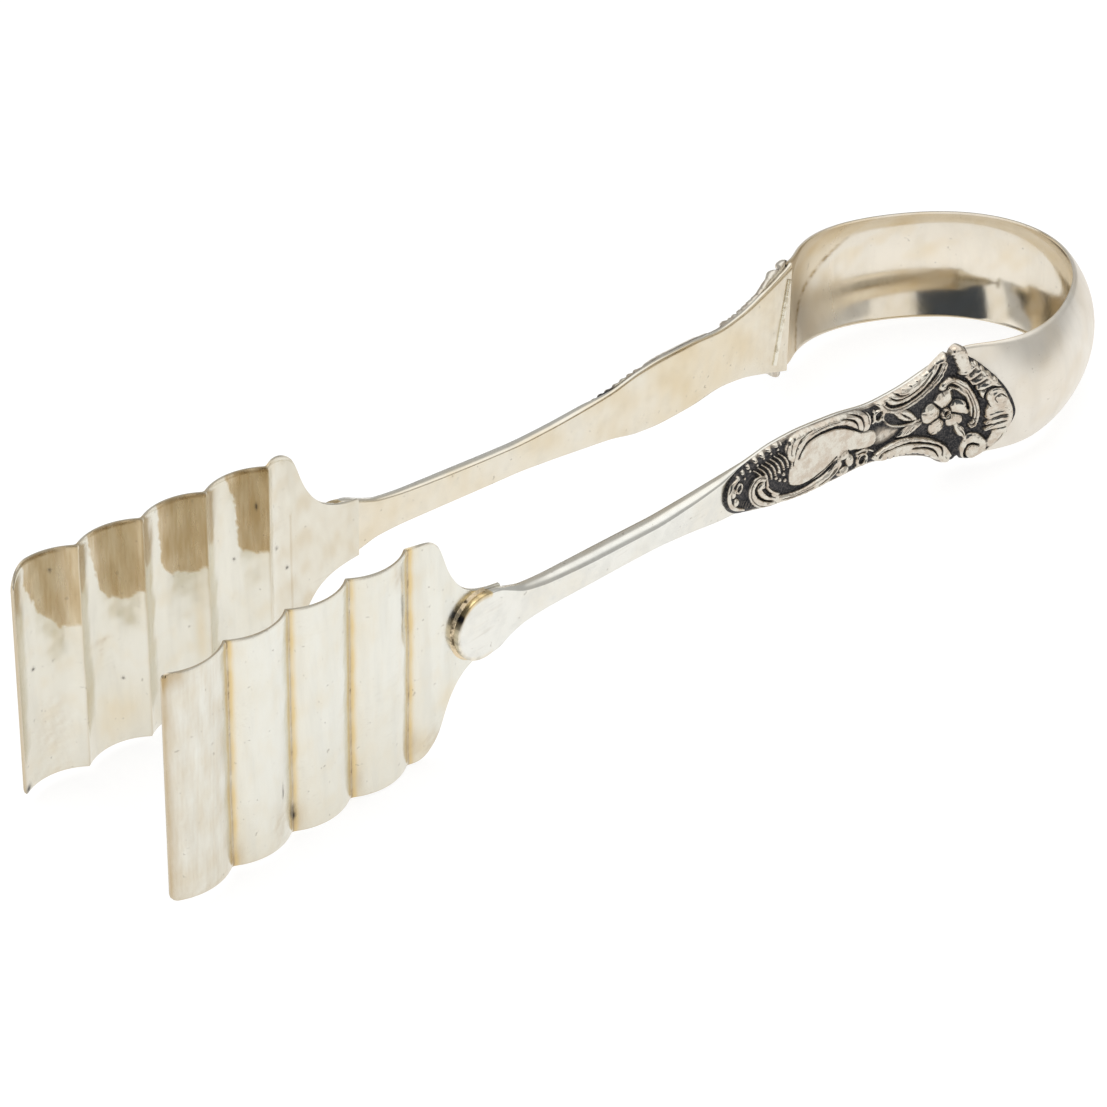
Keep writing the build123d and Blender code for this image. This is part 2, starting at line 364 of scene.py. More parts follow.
# Stain colours; gold and tan are also painted reflections in the jaws' flutes, and tan is painted shade on
# the bow
GOLD_STAIN_AND_REFLECTION = (0.72, 0.56, 0.30)
TAN_STAIN_SHADE_AND_REFLECTION = (0.47, 0.345, 0.185)
DARK = (0.022, 0.022, 0.026)
HAIR_BROWN = (0.46, 0.38, 0.27)
SPECK_BROWN = (0.25, 0.20, 0.14)
HAZE_SHADE = 0.86          # how much darker than clean metal its haze is
HAIR_LEANS = (0.55, -0.95)
HAIR_STRETCH = (0.02, 1.0, 1.0)
# Noise scales of the marks on silver, in waves to the metre
WAVES, BLOTCHES, PATCHES, HAZE, SCRATCHES, SPECKS, HAIRS = 38.0, 55.0, 90.0, 330.0, 420.0, 900.0, 2600.0


def silver(name, clean, warm, roughness, mottle, wave, pits, brush=(1.0, 1.0, 1.0)):
    """Old silver. The vertex attributes gold, tan and grime bring in its stains, gold and tan also its
    painted reflections and painted shade, and satin dulls it.

    A small number in brush stretches the haze and the scratches along that axis."""
    material, tree, shader = new_material(name)
    links = tree.links
    blotch = ramp(tree, noise(tree, BLOTCHES, 5.0, roughness=0.6), 0.42, 0.68, 0.0, mottle)
    haze = ramp(tree, noise(tree, HAZE, 4.0, brush), 0.42, 0.70, 0.0, mottle)
    colour = mix_colour(tree, blotch, clean, warm)
    colour = mix_colour(tree, haze, colour, tuple(HAZE_SHADE * c for c in clean))
    # Gold and tan are stains, and also painted reflections in the jaws' flutes and painted shade on the bow
    colour = mix_colour(tree, attribute(tree, "gold"), colour, GOLD_STAIN_AND_REFLECTION)
    colour = mix_colour(tree, attribute(tree, "tan"), colour, TAN_STAIN_SHADE_AND_REFLECTION)
    for lean in HAIR_LEANS:
        hairs = noise(tree, HAIRS, 1.0, HAIR_STRETCH, turn=(0.0, lean, 0.0))
        patchy = ramp(tree, noise(tree, PATCHES, 2.0), 0.50, 0.66, 0.0, 0.30 * pits)
        hair = calculate(tree, "MULTIPLY", ramp(tree, hairs, 0.62, 0.74), patchy)
        colour = mix_colour(tree, hair, colour, HAIR_BROWN)
    speck = ramp(tree, noise(tree, SPECKS, 2.0), 0.70 - 0.04 * pits, 0.76, 0.0, pits)
    colour = mix_colour(tree, speck, colour, SPECK_BROWN)
    colour = mix_colour(tree, attribute(tree, "grime"), colour, DARK)
    links.new(colour, shader.inputs["Base Color"])
    scratch = noise(tree, SCRATCHES, 3.0, brush)
    rough = ramp(tree, scratch, 0.3, 0.7, roughness * 0.82, roughness * 1.2)
    faint_tan = calculate(tree, "MULTIPLY", attribute(tree, "tan"), 0.3)
    stain = calculate(tree, "MAXIMUM", attribute(tree, "grime"), faint_tan)
    dull = calculate(tree, "MAXIMUM", calculate(tree, "MULTIPLY", attribute(tree, "satin"), 1.4), stain)
    rough = calculate(tree, "ADD", rough, calculate(tree, "MULTIPLY", dull, 0.3))
    links.new(rough, shader.inputs["Roughness"])
    shader.inputs["Metallic"].default_value = 1.0
    fine = bump(tree, scratch, 0.12, 0.00006)
    broad = bump(tree, noise(tree, WAVES, 2.0), wave, 0.0009)
    links.new(fine.outputs["Normal"], broad.inputs["Normal"])
    links.new(broad.outputs["Normal"], shader.inputs["Normal"])
    return material


RUBBED, RUBBED_PINK = (0.70, 0.66, 0.575), (0.57, 0.49, 0.40)
GROUND_BLACK, GROUND_GREY = (0.026, 0.027, 0.031), (0.12, 0.11, 0.104)
OLD_DUST = (0.235, 0.205, 0.17)


def relief_silver():
    """Cast silver, black in its recesses and rubbed bright and a little pink on its high points."""
    material, tree, shader = new_material("ornament_silver")
    links = tree.links
    mottle = ramp(tree, noise(tree, 520.0, 4.0, roughness=0.65), 0.38, 0.66)
    rubbed = mix_colour(tree, mottle, RUBBED, RUBBED_PINK)
    speckle = ramp(tree, noise(tree, 2400.0, 3.0), 0.40, 0.70)
    ground = mix_colour(tree, speckle, GROUND_BLACK, GROUND_GREY)
    ragged = ramp(tree, noise(tree, 1300.0, 3.0), 0.0, 1.0, -0.14, 0.14)
    edge = calculate(tree, "ADD", attribute(tree, "recess"), ragged)
    dusty = ramp(tree, edge, 0.12, 0.50)
    black = ramp(tree, edge, 0.42, 0.88)
    colour = mix_colour(tree, dusty, rubbed, OLD_DUST)
    links.new(mix_colour(tree, black, colour, ground), shader.inputs["Base Color"])
    links.new(ramp(tree, edge, 0.05, 0.8, 0.20, 0.55), shader.inputs["Roughness"])
    links.new(ramp(tree, black, 0.0, 1.0, 1.0, 0.7), shader.inputs["Metallic"])
    grain = bump(tree, noise(tree, 1600.0, 3.0), 0.3, 0.00010)
    links.new(grain.outputs["Normal"], shader.inputs["Normal"])
    return material


def solder_metal(name, clean, dirty):
    """Solder with old dirt in it."""
    material, tree, shader = new_material(name)
    dirt = ramp(tree, noise(tree, 420.0, 4.0), 0.50, 0.64)
    tree.links.new(mix_colour(tree, dirt, clean, dirty), shader.inputs["Base Color"])
    tree.links.new(ramp(tree, dirt, 0.0, 1.0, 0.22, 0.5), shader.inputs["Roughness"])
    shader.inputs["Metallic"].default_value = 1.0
    grain = bump(tree, noise(tree, 700.0, 3.0), 0.4, 0.0002)
    tree.links.new(grain.outputs["Normal"], shader.inputs["Normal"])
    return material


# ---------------------------------------------------------------- jaws
def sheet_profile(u):
    """Inner and outer height of the fluted sheet over the line of its ridges."""
    half_pitch = FLUTE_PITCH / 2
    from_middle = (u % FLUTE_PITCH) - half_pitch
    radius = (half_pitch ** 2 + FLUTE_RISE ** 2) / (2 * FLUTE_RISE)
    climb = math.acos((radius - FLUTE_RISE) / radius)
    turn = PLATE_RISE / (1 - math.cos(climb))
    to_plate = np.maximum(FLUTES_END + turn * math.sin(climb) - u, 0.0)
    faces = []
    for extra in (0.0, BLADE_SHEET):
        fluted = arc_height(from_middle, half_pitch, FLUTE_RISE, extra)
        level = PLATE_RISE - turn + np.sqrt(np.maximum((turn + extra) ** 2 - to_plate ** 2, 0.0))
        faces.append(np.where(u < FLUTES_END, fluted, level))
    return faces


def jaw_limits(u, top_corner):
    """Lower and upper edge of the jaw at distance u from its front edge."""
    upper_curve = spline(UPPER_SHOULDER, (1, 0.35), (1, -0.12))
    lower_curve = spline(LOWER_SHOULDER, (1, 0.03), (1, 0.12))
    upper = np.where(u < FLUTES_END, BLADE_TOP, np.interp(u, upper_curve[:, 0], upper_curve[:, 1]))
    straight = np.interp(u, (BOTTOM_CORNER, FLUTES_END), (BLADE_BOTTOM_TIP, BLADE_BOTTOM_BACK))
    lower = np.where(u < FLUTES_END, straight, np.interp(u, lower_curve[:, 0], lower_curve[:, 1]))
    in_top = np.clip(top_corner - u, 0.0, top_corner)
    in_bottom = np.clip(BOTTOM_CORNER - u, 0.0, BOTTOM_CORNER)
    fall = TOP_FALL * (TOP_CORNERS["right"] - top_corner) * smooth_step(TOP_FALL_LENGTH, 0.0, u)
    upper = upper - fall - top_corner + np.sqrt(top_corner ** 2 - in_top ** 2)
    lower = lower + BOTTOM_CORNER - np.sqrt(BOTTOM_CORNER ** 2 - in_bottom ** 2)
    return lower, upper


# Front edge of the painted reflection in each flute, a tan patch on a jaw's inner side that stands for the
# other jaw seen in it, as heights and distances from the jaw's front, and the height at which each one ends
REFLECTION_HEIGHTS = (3.0, 6.0, 7.5, 9.0, 12.0, 17.0, 21.5)
REFLECTION_FRONTS = (
    (12.5, 9.8, 8.3, 6.6, 5.1, 3.6, 2.6),
    (25.0, 21.8, 20.2, 19.3, 18.1, 17.1, 16.5),
    (37.0, 34.2, 33.0, 32.4, 32.0, 31.6, 31.2),
    (51.0, 48.8, 48.6, 48.4, 48.3, 47.8, 46.3),
)
REFLECTION_ENDS = (5.3, 6.2, 5.8, 4.2)
# Rows of soft spots on a jaw's sides: the mark, its strength, how far noise breaks it up, and then for each
# spot its distance from the front, its height, and its size along and across
OUTER_SPOTS = (
    ("tan", 0.5, 0.0, (0.5, 20.5, 3.0, 2.6)),
    ("tan", 0.28, 0.6, (50.0, 18.5, 1.2, 2.4), (22.5, -19.0, 1.6, 3.5), (59.5, -19.5, 4.0, 2.5)),
    ("tan", 0.35, 0.0, (14.5, -21.5, 1.0, 3.0), (28.0, -21.0, 0.9, 3.0), (41.5, -20.0, 0.9, 3.0),
     (54.8, -18.5, 0.9, 3.0)),
    ("gold", 0.25, 0.0, (56.5, -19.5, 1.5, 3.0), (62.0, -12.0, 2.0, 3.0)),
)
INNER_SPOTS = (
    ("tan", 0.16, 0.8, (7.5, -15.0, 3.5, 6.0)),
    ("tan", 0.24, 0.8, (18.8, -1.2, 2.2, 0.6), (18.6, -3.0, 0.5, 1.4)),
    ("tan", 0.35, 0.0, (29.6, 16.5, 0.5, 2.6), (29.2, 13.5, 0.4, 1.6)),
    ("gold", 0.30, 0.0, (21.0, -18.0, 5.5, 4.5)),
    ("gold", 0.35, 0.0, (39.0, -7.0, 0.9, 5.5)),
    ("grime", 0.95, 0.0, (4.3, -0.8, 0.35, 0.30), (52.0, 13.5, 0.22, 0.7), (56.2, 3.2, 0.35, 0.25),
     (58.6, -1.9, 0.3, 0.3), (47.6, 3.8, 0.25, 0.25), (8.9, 17.2, 0.3, 0.3), (22.8, -10.5, 0.25, 0.25),
     (1.0, -23.6, 0.8, 0.7)),
)


def spots(u, z, places):
    """The sum of soft spots, each given as distance, height and size along and across."""
    total = np.zeros_like(u)
    for at_u, at_z, size_u, size_z in places:
        total += np.exp(-(((u - at_u) / size_u) ** 2 + ((z - at_z) / size_z) ** 2))
    return total


def add_spots(marks, rows, u, z, fine):
    """The spots of the rows, added to the marks that they name."""
    for mark, strength, broken, *places in rows:
        marks[mark] += spots(u, z, places) * strength * (1 + broken * fine)


def jaw_stains(u, z, outside):
    """Gold, tan and grime of a jaw: brown lines at grooves and edges, a few pits, and tan patches in the
    inner flutes that are a painted reflection of the other jaw.
    """
    drift = wave_noise(u, z, 9.0, 1)
    fine = wave_noise(u, z, 2.2, 2)
    streak = wave_noise(u, 0.12 * z, 1.6, 5)
    ridge = np.round(u / FLUTE_PITCH)
    past = u - ridge * FLUTE_PITCH              # distance behind the nearest ridge
    real = (ridge >= 1) & (ridge <= FLUTES)     # where the nearest ridge is one of the jaw's
    above_bottom = np.maximum(z - BLADE_BOTTOM_TIP, 0)
    gold = np.zeros_like(u)
    tan = 0.55 * np.exp(-u / 0.8)
    grime = np.zeros_like(u)
    marks = {"gold": gold, "tan": tan, "grime": grime}
    if outside:
        gold += real * band(past, 0.40, 0.45) * np.clip(0.70 + 0.25 * drift, 0, 1)
        gold += real * (past > 0) * np.exp(-past / 1.9) * 0.26
        patchy = np.clip(0.68 + 0.3 * drift + 0.15 * fine, 0, 1)
        tan += real * band(past, 0.02, 0.22) * patchy
        grime += real * band(past, 0.0, 0.14) * np.clip(0.15 + 0.6 * fine * drift, 0, 0.7)
        gold += 0.10 * np.exp(-above_bottom / 6.0)
        gold += 0.09 * np.clip(drift, 0, 1) + 0.05 * np.clip(streak, 0, 1)
        tan += 0.26 * np.exp(-above_bottom / 1.3) * np.clip(0.6 + 0.6 * fine, 0, 1.4)
        tan += 0.17 * smooth_step(14.5, 11.0, u) * (1 + 0.15 * drift + 0.6 * streak + 0.15 * fine)
        add_spots(marks, OUTER_SPOTS, u, z, fine)
        grime += spots(u, z, ((27.1, -19.6, 0.45, 1.7), (23.4, -12.5, 0.2, 1.3))) * (0.75 + 0.4 * fine)
        grime += spots(u, z, ((53.7, 8.5, 0.12, 6.0),)) * 0.35
    else:
        # Painted reflection: a tan and gold patch in each flute of the inner side stands in for the other
        # jaw reflected there
        reach = 0.25 * wave_noise(u, z, 1.8, 3) + 0.35 * drift
        painted_reflection = np.zeros_like(u)
        for flute in range(FLUTES):
            front = np.interp(z, REFLECTION_HEIGHTS, REFLECTION_FRONTS[flute])
            end = REFLECTION_ENDS[flute] + 0.75 * wave_noise(u, 0 * z, 3.4, 4)
            inside = (u > flute * FLUTE_PITCH) & (u < (flute + 1) * FLUTE_PITCH - 0.15)
            painted_reflection += inside * smooth_step(-0.25, 0.25, u - front + reach) * smooth_step(-0.3, 0.3, z - end)
        tan += painted_reflection * (0.58 + 0.22 * streak + 0.004 * (21 - z) + 0.004 * u)
        gold += painted_reflection * 0.30
        halo = real * band(past, -0.6, 1.6) * smooth_step(-4, 4, z)
        gold += 0.10 + 0.14 * halo + 0.12 * np.clip(drift, 0, 1)
        tan += real * band(past, 0.0, 0.2) * 0.30
        tan += 0.22 * np.exp(-above_bottom / 1.5) * np.clip(0.6 + 0.6 * fine, 0, 1.4)
        add_spots(marks, INNER_SPOTS, u, z, fine)
        tan += band(u, 59.6, 0.15) * (z < 9) * 0.4
        worn_neck = smooth_step(FLUTES_END, 58.0, u)
        tan += worn_neck * (0.16 + 0.10 * drift)
    return [np.clip(value, 0.0, 1.0) for value in marks.values()]


def make_jaw(name, side, material, top_corner):
    """A fluted sheet with softened ridges and grooves, skinned over loops across the jaw."""
    corner_end = 5.0
    u = np.concatenate([
        crowded_start(0.0, corner_end, 30),
        np.arange(corner_end + JAW_STEP, BLADE_LENGTH, JAW_STEP),
        [BLADE_LENGTH],
    ])
    margin = 4.0
    fine = np.arange(-margin, BLADE_LENGTH + margin, PROFILE_STEP)
    inner_fine, outer_fine = sheet_profile(np.clip(fine, 0.0, BLADE_LENGTH))
    # The sheet thins at its front edge and is a little uneven, but for its top and bottom edges
    thin_front = 0.22 * np.exp(-u / 0.12)
    inner = np.interp(u, fine, softened(inner_fine, PROFILE_STEP, 0.10)) + thin_front
    outer = np.interp(u, fine, softened(outer_fine, PROFILE_STEP, 0.30)) - thin_front
    lower, upper = jaw_limits(u, top_corner)
    t = np.linspace(-1.0, 1.0, JAW_COLUMNS)
    middle, half = (lower + upper) / 2, (upper - lower) / 2
    z = middle[:, None] + half[:, None] * t[None, :]
    uu = np.repeat(u[:, None], JAW_COLUMNS, axis=1)
    wobble = 0.10 * wave_noise(uu, z, 26.0, 11) + 0.03 * wave_noise(uu, z, 9.0, 12)
    wobble *= smooth_step(0, 3, u)[:, None] * smooth_step(64, 56, u)[:, None]
    wobble *= smooth_step(1.0, 0.9, np.abs(t))[None, :]
    edge_inset = np.zeros(JAW_COLUMNS)
    edge_inset[[0, -1]] = 0.2
    inner_grid = np.stack([uu, inner[:, None] + wobble + edge_inset, z], axis=-1)
    outer_grid = np.stack([uu, outer[:, None] + wobble - edge_inset, z], axis=-1)
    loop = np.concatenate([outer_grid, inner_grid[:, ::-1]], axis=1)
    points, faces = skin(loop)
    marks = []
    for grid, outside in ((outer_grid, True), (inner_grid, False)):
        stains = np.stack(jaw_stains(grid[..., 0], grid[..., 2], outside))
        stains[1][:, [0, -1]] = np.maximum(stains[1][:, [0, -1]], 0.25)
        marks.append(stains)
    marks = np.concatenate([marks[0], marks[1][:, :, ::-1]], axis=2).reshape(3, -1)
    along, out = points[:, 0].copy(), points[:, 1].copy()
    points[:, 0] = TIP_X + along * math.cos(BLADE_TAPER) + out * math.sin(BLADE_TAPER)
    points[:, 1] = TIP_HALF_GAP - along * math.sin(BLADE_TAPER) + out * math.cos(BLADE_TAPER)
    return add_piece(name, points, faces, side, material, dict(zip(("gold", "tan", "grime"), marks)))


# ---------------------------------------------------------------- rails of arms and bow
def arm_inner(x):
    """Distance of an arm's inner face from the middle plane."""
    radius = np.where(x < WAIST_X, FRONT_BEND_RADIUS, BACK_BEND_RADIUS)
    return WAIST_HALF_GAP + (x - WAIST_X) ** 2 / (2 * radius)


def arm_slope(x):
    return (x - WAIST_X) / np.where(x < WAIST_X, FRONT_BEND_RADIUS, BACK_BEND_RADIUS)


def plate_outer(x):
    """Distance of the jaws' outer flat from the middle plane."""
    return TIP_HALF_GAP - math.tan(BLADE_TAPER) * (x - TIP_X) + PLATE_RISE + BLADE_SHEET


def outward(slope):
    """Unit vectors in plan, square to a rail of that slope and pointing away from the middle plane."""
    length = np.sqrt(1 + slope ** 2)
    return np.stack([-slope / length, 1 / length], axis=-1)


def bow_rail():
    """Dense points in plan along the band's inner rim, from arm's end to crown, and their distances."""
    slope = float(arm_slope(ARM_END))
    along = np.array([1.0, slope]) / math.hypot(1.0, slope)
    start = np.array([ARM_END, float(arm_inner(ARM_END)) + BAND_OFFSET]) + along * SOLDER_FILM
    line = spline([start, *BOW_POINTS, (CROWN_X, 0.0)], along, (0, -1), count=2400)
    distance = np.concatenate([[0.0], np.cumsum(np.linalg.norm(np.diff(line, axis=0), axis=1))])
    return line, distance


RAIL, RAIL_DISTANCE = bow_rail()
RAIL_TANGENT = np.gradient(RAIL, axis=0)
RAIL_TANGENT /= np.linalg.norm(RAIL_TANGENT, axis=1)[:, None]


def on_bow(distance):
    """Point in plan on the band's inner rim and the outward direction there."""
    point = np.stack([np.interp(distance, RAIL_DISTANCE, RAIL[:, k]) for k in (0, 1)], axis=-1)
    tangent = np.stack([np.interp(distance, RAIL_DISTANCE, RAIL_TANGENT[:, k]) for k in (0, 1)], axis=-1)
    return point, np.stack([-tangent[..., 1], tangent[..., 0]], axis=-1)


def dome_at(distance):
    """Rise of the band's domed section at a distance along the bow."""
    return END_DOME + (BAND_DOME - END_DOME) * smooth_step(0.0, DOME_LENGTH, distance)


def lay_out(point, out, height, z):
    """Points in space from plan points, outward directions, heights along them and z."""
    plan = point + out * height[..., None]
    return np.concatenate([plan, z[..., None] + 0 * height[..., None]], axis=-1)


# ---------------------------------------------------------------- bow
SEAM_START, SEAM_LEAN = 6.4, 0.92   # place of the lap seam along the bow at its lower rim, and its lean
INNER_LAP = 1.0     # how far the inner face of the bow reaches over the arm's end, under the ornament


def make_bow_half(name, side, material):
    """One half of the domed band, from an arm's end to the crown."""
    distance = np.linspace(0.0, RAIL_DISTANCE[-1], BOW_STATIONS)
    point, out = on_bow(distance)
    dome = dome_at(distance)
    z_line = np.linspace(-BAND_HALF_WIDTH, BAND_HALF_WIDTH, BOW_COLUMNS)
    corner = 0.28
    loops = []
    stains = []
    for face, base in ((1, BAND_SHEET), (-1, 0.0)):
        z = z_line[::face]
        zz = np.repeat(z[None, :], len(distance), axis=0)
        height = base + arc_height(zz, BAND_HALF_WIDTH, dome[:, None])
        height[:, [0, -1]] -= face * corner
        rail = point.copy()
        if face < 0:
            rail[0] -= INNER_LAP * RAIL_TANGENT[0]
        loops.append(lay_out(rail[:, None, :], out[:, None, :], height, zz))
        dd = np.repeat(distance[:, None], len(z), axis=1)
        stains.append(bow_stains(dd, zz, face > 0))
    points, faces = skin(np.concatenate(loops, axis=1))
    marks = np.concatenate(stains, axis=2).reshape(4, -1)
    named_marks = dict(zip(("gold", "tan", "grime", "satin"), marks))
    return add_piece(name, points, faces, side, material, named_marks)


def bow_stains(distance, z, outside):
    """A brown lap seam, tan towards the rims and a painted shadow in the upper corner by the arm inside the
    bow, and painted shade in tan and a satin finish outside.
    """
    drift = wave_noise(distance, z, 14.0, 21)
    fine = wave_noise(distance, z, 3.0, 22)
    rim = BAND_HALF_WIDTH - np.abs(z)
    gold = 0.10 * np.clip(drift, 0, 1)
    tan = np.zeros_like(z)
    grime = np.zeros_like(z)
    if outside:
        # Painted shade: tan over the whole outside, deeper towards the crown, dims what the outside reflects
        tan += 0.17 + 0.05 * drift + 0.12 * smooth_step(28.0, 46.0, distance)
    else:
        gold += 0.20 + 0.14 * np.clip(drift, 0, 1)
        tan += 0.16 * smooth_step(3.2 + 0.5 * drift, 1.6, rim) * (z > 0)
        tan += 0.14 * smooth_step(2.0, -6.0, z) * (1 + 0.5 * drift)
        past_seam = distance - SEAM_START - SEAM_LEAN * (z + BAND_HALF_WIDTH)
        seam = band(past_seam, 0.0, 0.60) * smooth_step(8.0, 4.0, z)
        tan += 0.95 * seam * np.clip(0.75 + 0.6 * fine, 0, 1)
        grime += 0.60 * seam * np.clip(fine - 0.25, 0, 1)
        gold += 0.22 * smooth_step(0.5, -0.5, past_seam)
        # Painted shadow: a tan patch in the upper corner next to the arm's end
        corner = smooth_step(1.5, 3.0, z - 1.1 * distance) * smooth_step(12.0, 6.0, distance)
        tan += 0.30 * corner
    near_arm = smooth_step(30.0, 8.0, distance) * np.ones_like(z)
    satin = np.full_like(z, 0.60) if outside else near_arm
    return np.stack([np.clip(value, 0.0, 1.0) for value in (gold, tan, grime, satin)])


# ---------------------------------------------------------------- arms
def make_arm(name, side, material):
    """The disc soldered to the jaw, the bevelled shank and the thin plate behind the ornament."""
    front = DISC_X - DISC_RADIUS
    x = np.concatenate([
        crowded_start(front, DISC_X, 40),
        np.arange(DISC_X + 0.3, ARM_END, ARM_STEP),
        [ARM_END],
    ])
    station = np.maximum(x, DISC_X)
    half, thick, bevel = (eased(station, ARM_STATIONS[:, 0], ARM_STATIONS[:, k]) for k in (1, 2, 3))
    disc_half = np.sqrt(np.maximum(DISC_RADIUS ** 2 - (x - DISC_X) ** 2, 0.0004))
    half = np.where(x < DISC_X, disc_half, np.maximum(half, np.where(x < DISC_X + 3.2, disc_half, 0)))
    bevel = np.minimum(np.maximum(bevel, 0.12), half * 0.5)
    on_plate = smooth_step(76.5, 73.5, x)
    base = arm_inner(x) * (1 - on_plate) + plate_outer(x) * on_plate
    slope = arm_slope(x) * (1 - on_plate) - math.tan(BLADE_TAPER) * on_plate
    point = np.stack([x, base], axis=-1)
    out = outward(slope)
    soft = 0.10
    shares = np.linspace(-1.0, 1.0, 15)
    inner_half = np.maximum(half - soft, 0.4 * half)
    outer_half = half - bevel
    zs, heights = [], []
    for share in shares:
        zs.append(-inner_half * share)
        heights.append(0 * x)
    zs += [-half, -half, -outer_half - 0.25 * (half - outer_half), -outer_half + 0.02 * half]
    heights += [0 * x + soft, thick - bevel, thick - 0.12 * bevel, thick]
    for share in shares[1:-1]:
        zs.append(outer_half * share)
        heights.append(thick + 0.0 * x)
    zs += [outer_half - 0.02 * half, outer_half + 0.25 * (half - outer_half), half, half]
    heights += [thick, thick - 0.12 * bevel, thick - bevel, 0 * x + soft]
    z = np.stack(zs, axis=1)
    height = np.stack(heights, axis=1)
    loops = lay_out(point[:, None, :], out[:, None, :], height, z)
    points, faces = skin(loops)
    xx = np.repeat(x[:, None], z.shape[1], axis=1)
    marks = arm_stains(xx, z, height > 0.5 * thick[:, None]).reshape(3, -1)
    return add_piece(name, points, faces, side, material, dict(zip(("gold", "tan", "grime"), marks)))


def arm_stains(x, z, outside):
    """Gold inside an arm, brown and a dark spot at its disc's rim, and tan towards its end."""
    drift = wave_noise(x, z, 16.0, 31)
    fine = wave_noise(x, z, 2.4, 32)
    from_disc = np.hypot(x - DISC_X, z)
    angle = np.degrees(np.arctan2(z, DISC_X - x))
    rim = band(from_disc, DISC_RADIUS, 0.45) * (x < DISC_X + 2)
    behind_cartouche = smooth_step(140.0, 155.0, x) * smooth_step(180.0, 168.0, x)
    gold = np.where(outside, 0.0, 0.32 + 0.12 * drift + 0.16 * behind_cartouche)
    gold += rim * (0.35 + 0.9 * smooth_step(10, 50, angle))
    grime = band(angle, 33, 12) * rim + 0.35 * rim * np.clip(0.3 + fine, 0, 1)
    tan = np.where(outside, 0.0, 0.05 + 0.08 * np.clip(drift, 0, 1))
    tan = tan + np.where(outside, 0.0, 0.25 * smooth_step(176, 189, x) * np.clip(0.4 + 0.5 * fine, 0, 1))
    return np.stack([np.clip(value, 0.0, 1.0) for value in (gold, tan, grime)])


# ---------------------------------------------------------------- ornaments
# Upper and lower outline of an ornament. Stations past ARM_END are distances along the bow.
UPPER_OUTLINE = np.array([
    (131.2, 0.3), (131.6, 1.8), (133.0, 3.6), (137.0, 5.1), (145.0, 6.7), (152.0, 7.2), (160.0, 7.1),
    (168.0, 6.5), (175.0, 7.3), (181.0, 8.9), (184.5, 11.2), (186.3, 12.1), (187.2, 11.6), (187.8, 12.5),
    (189.0, 13.0), (190.6, 12.2), (191.4, 10.4), (193.5, 8.9), (196.0, 6.8), (198.3, 4.2), (199.8, 1.4),
    (200.6, -1.2), (200.8, -2.6),
])
LOWER_OUTLINE = np.array([
    (131.2, -0.3), (132.0, -2.0), (134.0, -3.9), (137.0, -5.1), (145.0, -6.7), (152.0, -7.2), (160.0, -7.1),
    (168.0, -6.5), (175.0, -7.3), (181.0, -8.9), (184.5, -10.4), (187.0, -12.2), (188.6, -12.9),
    (189.9, -12.5), (190.7, -11.6), (191.6, -12.4), (193.5, -12.7), (195.6, -11.9), (197.6, -10.0),
    (199.2, -7.6), (200.2, -5.2), (200.8, -2.6),
])
ORNAMENT_START, ORNAMENT_END = UPPER_OUTLINE[0, 0], UPPER_OUTLINE[-1, 0]
GROUND = 0.55       # height of the recessed ground above the ornament's underside
UNDER_COLUMNS = 13  # points across the ornament's underside, which follows the dome of the bow


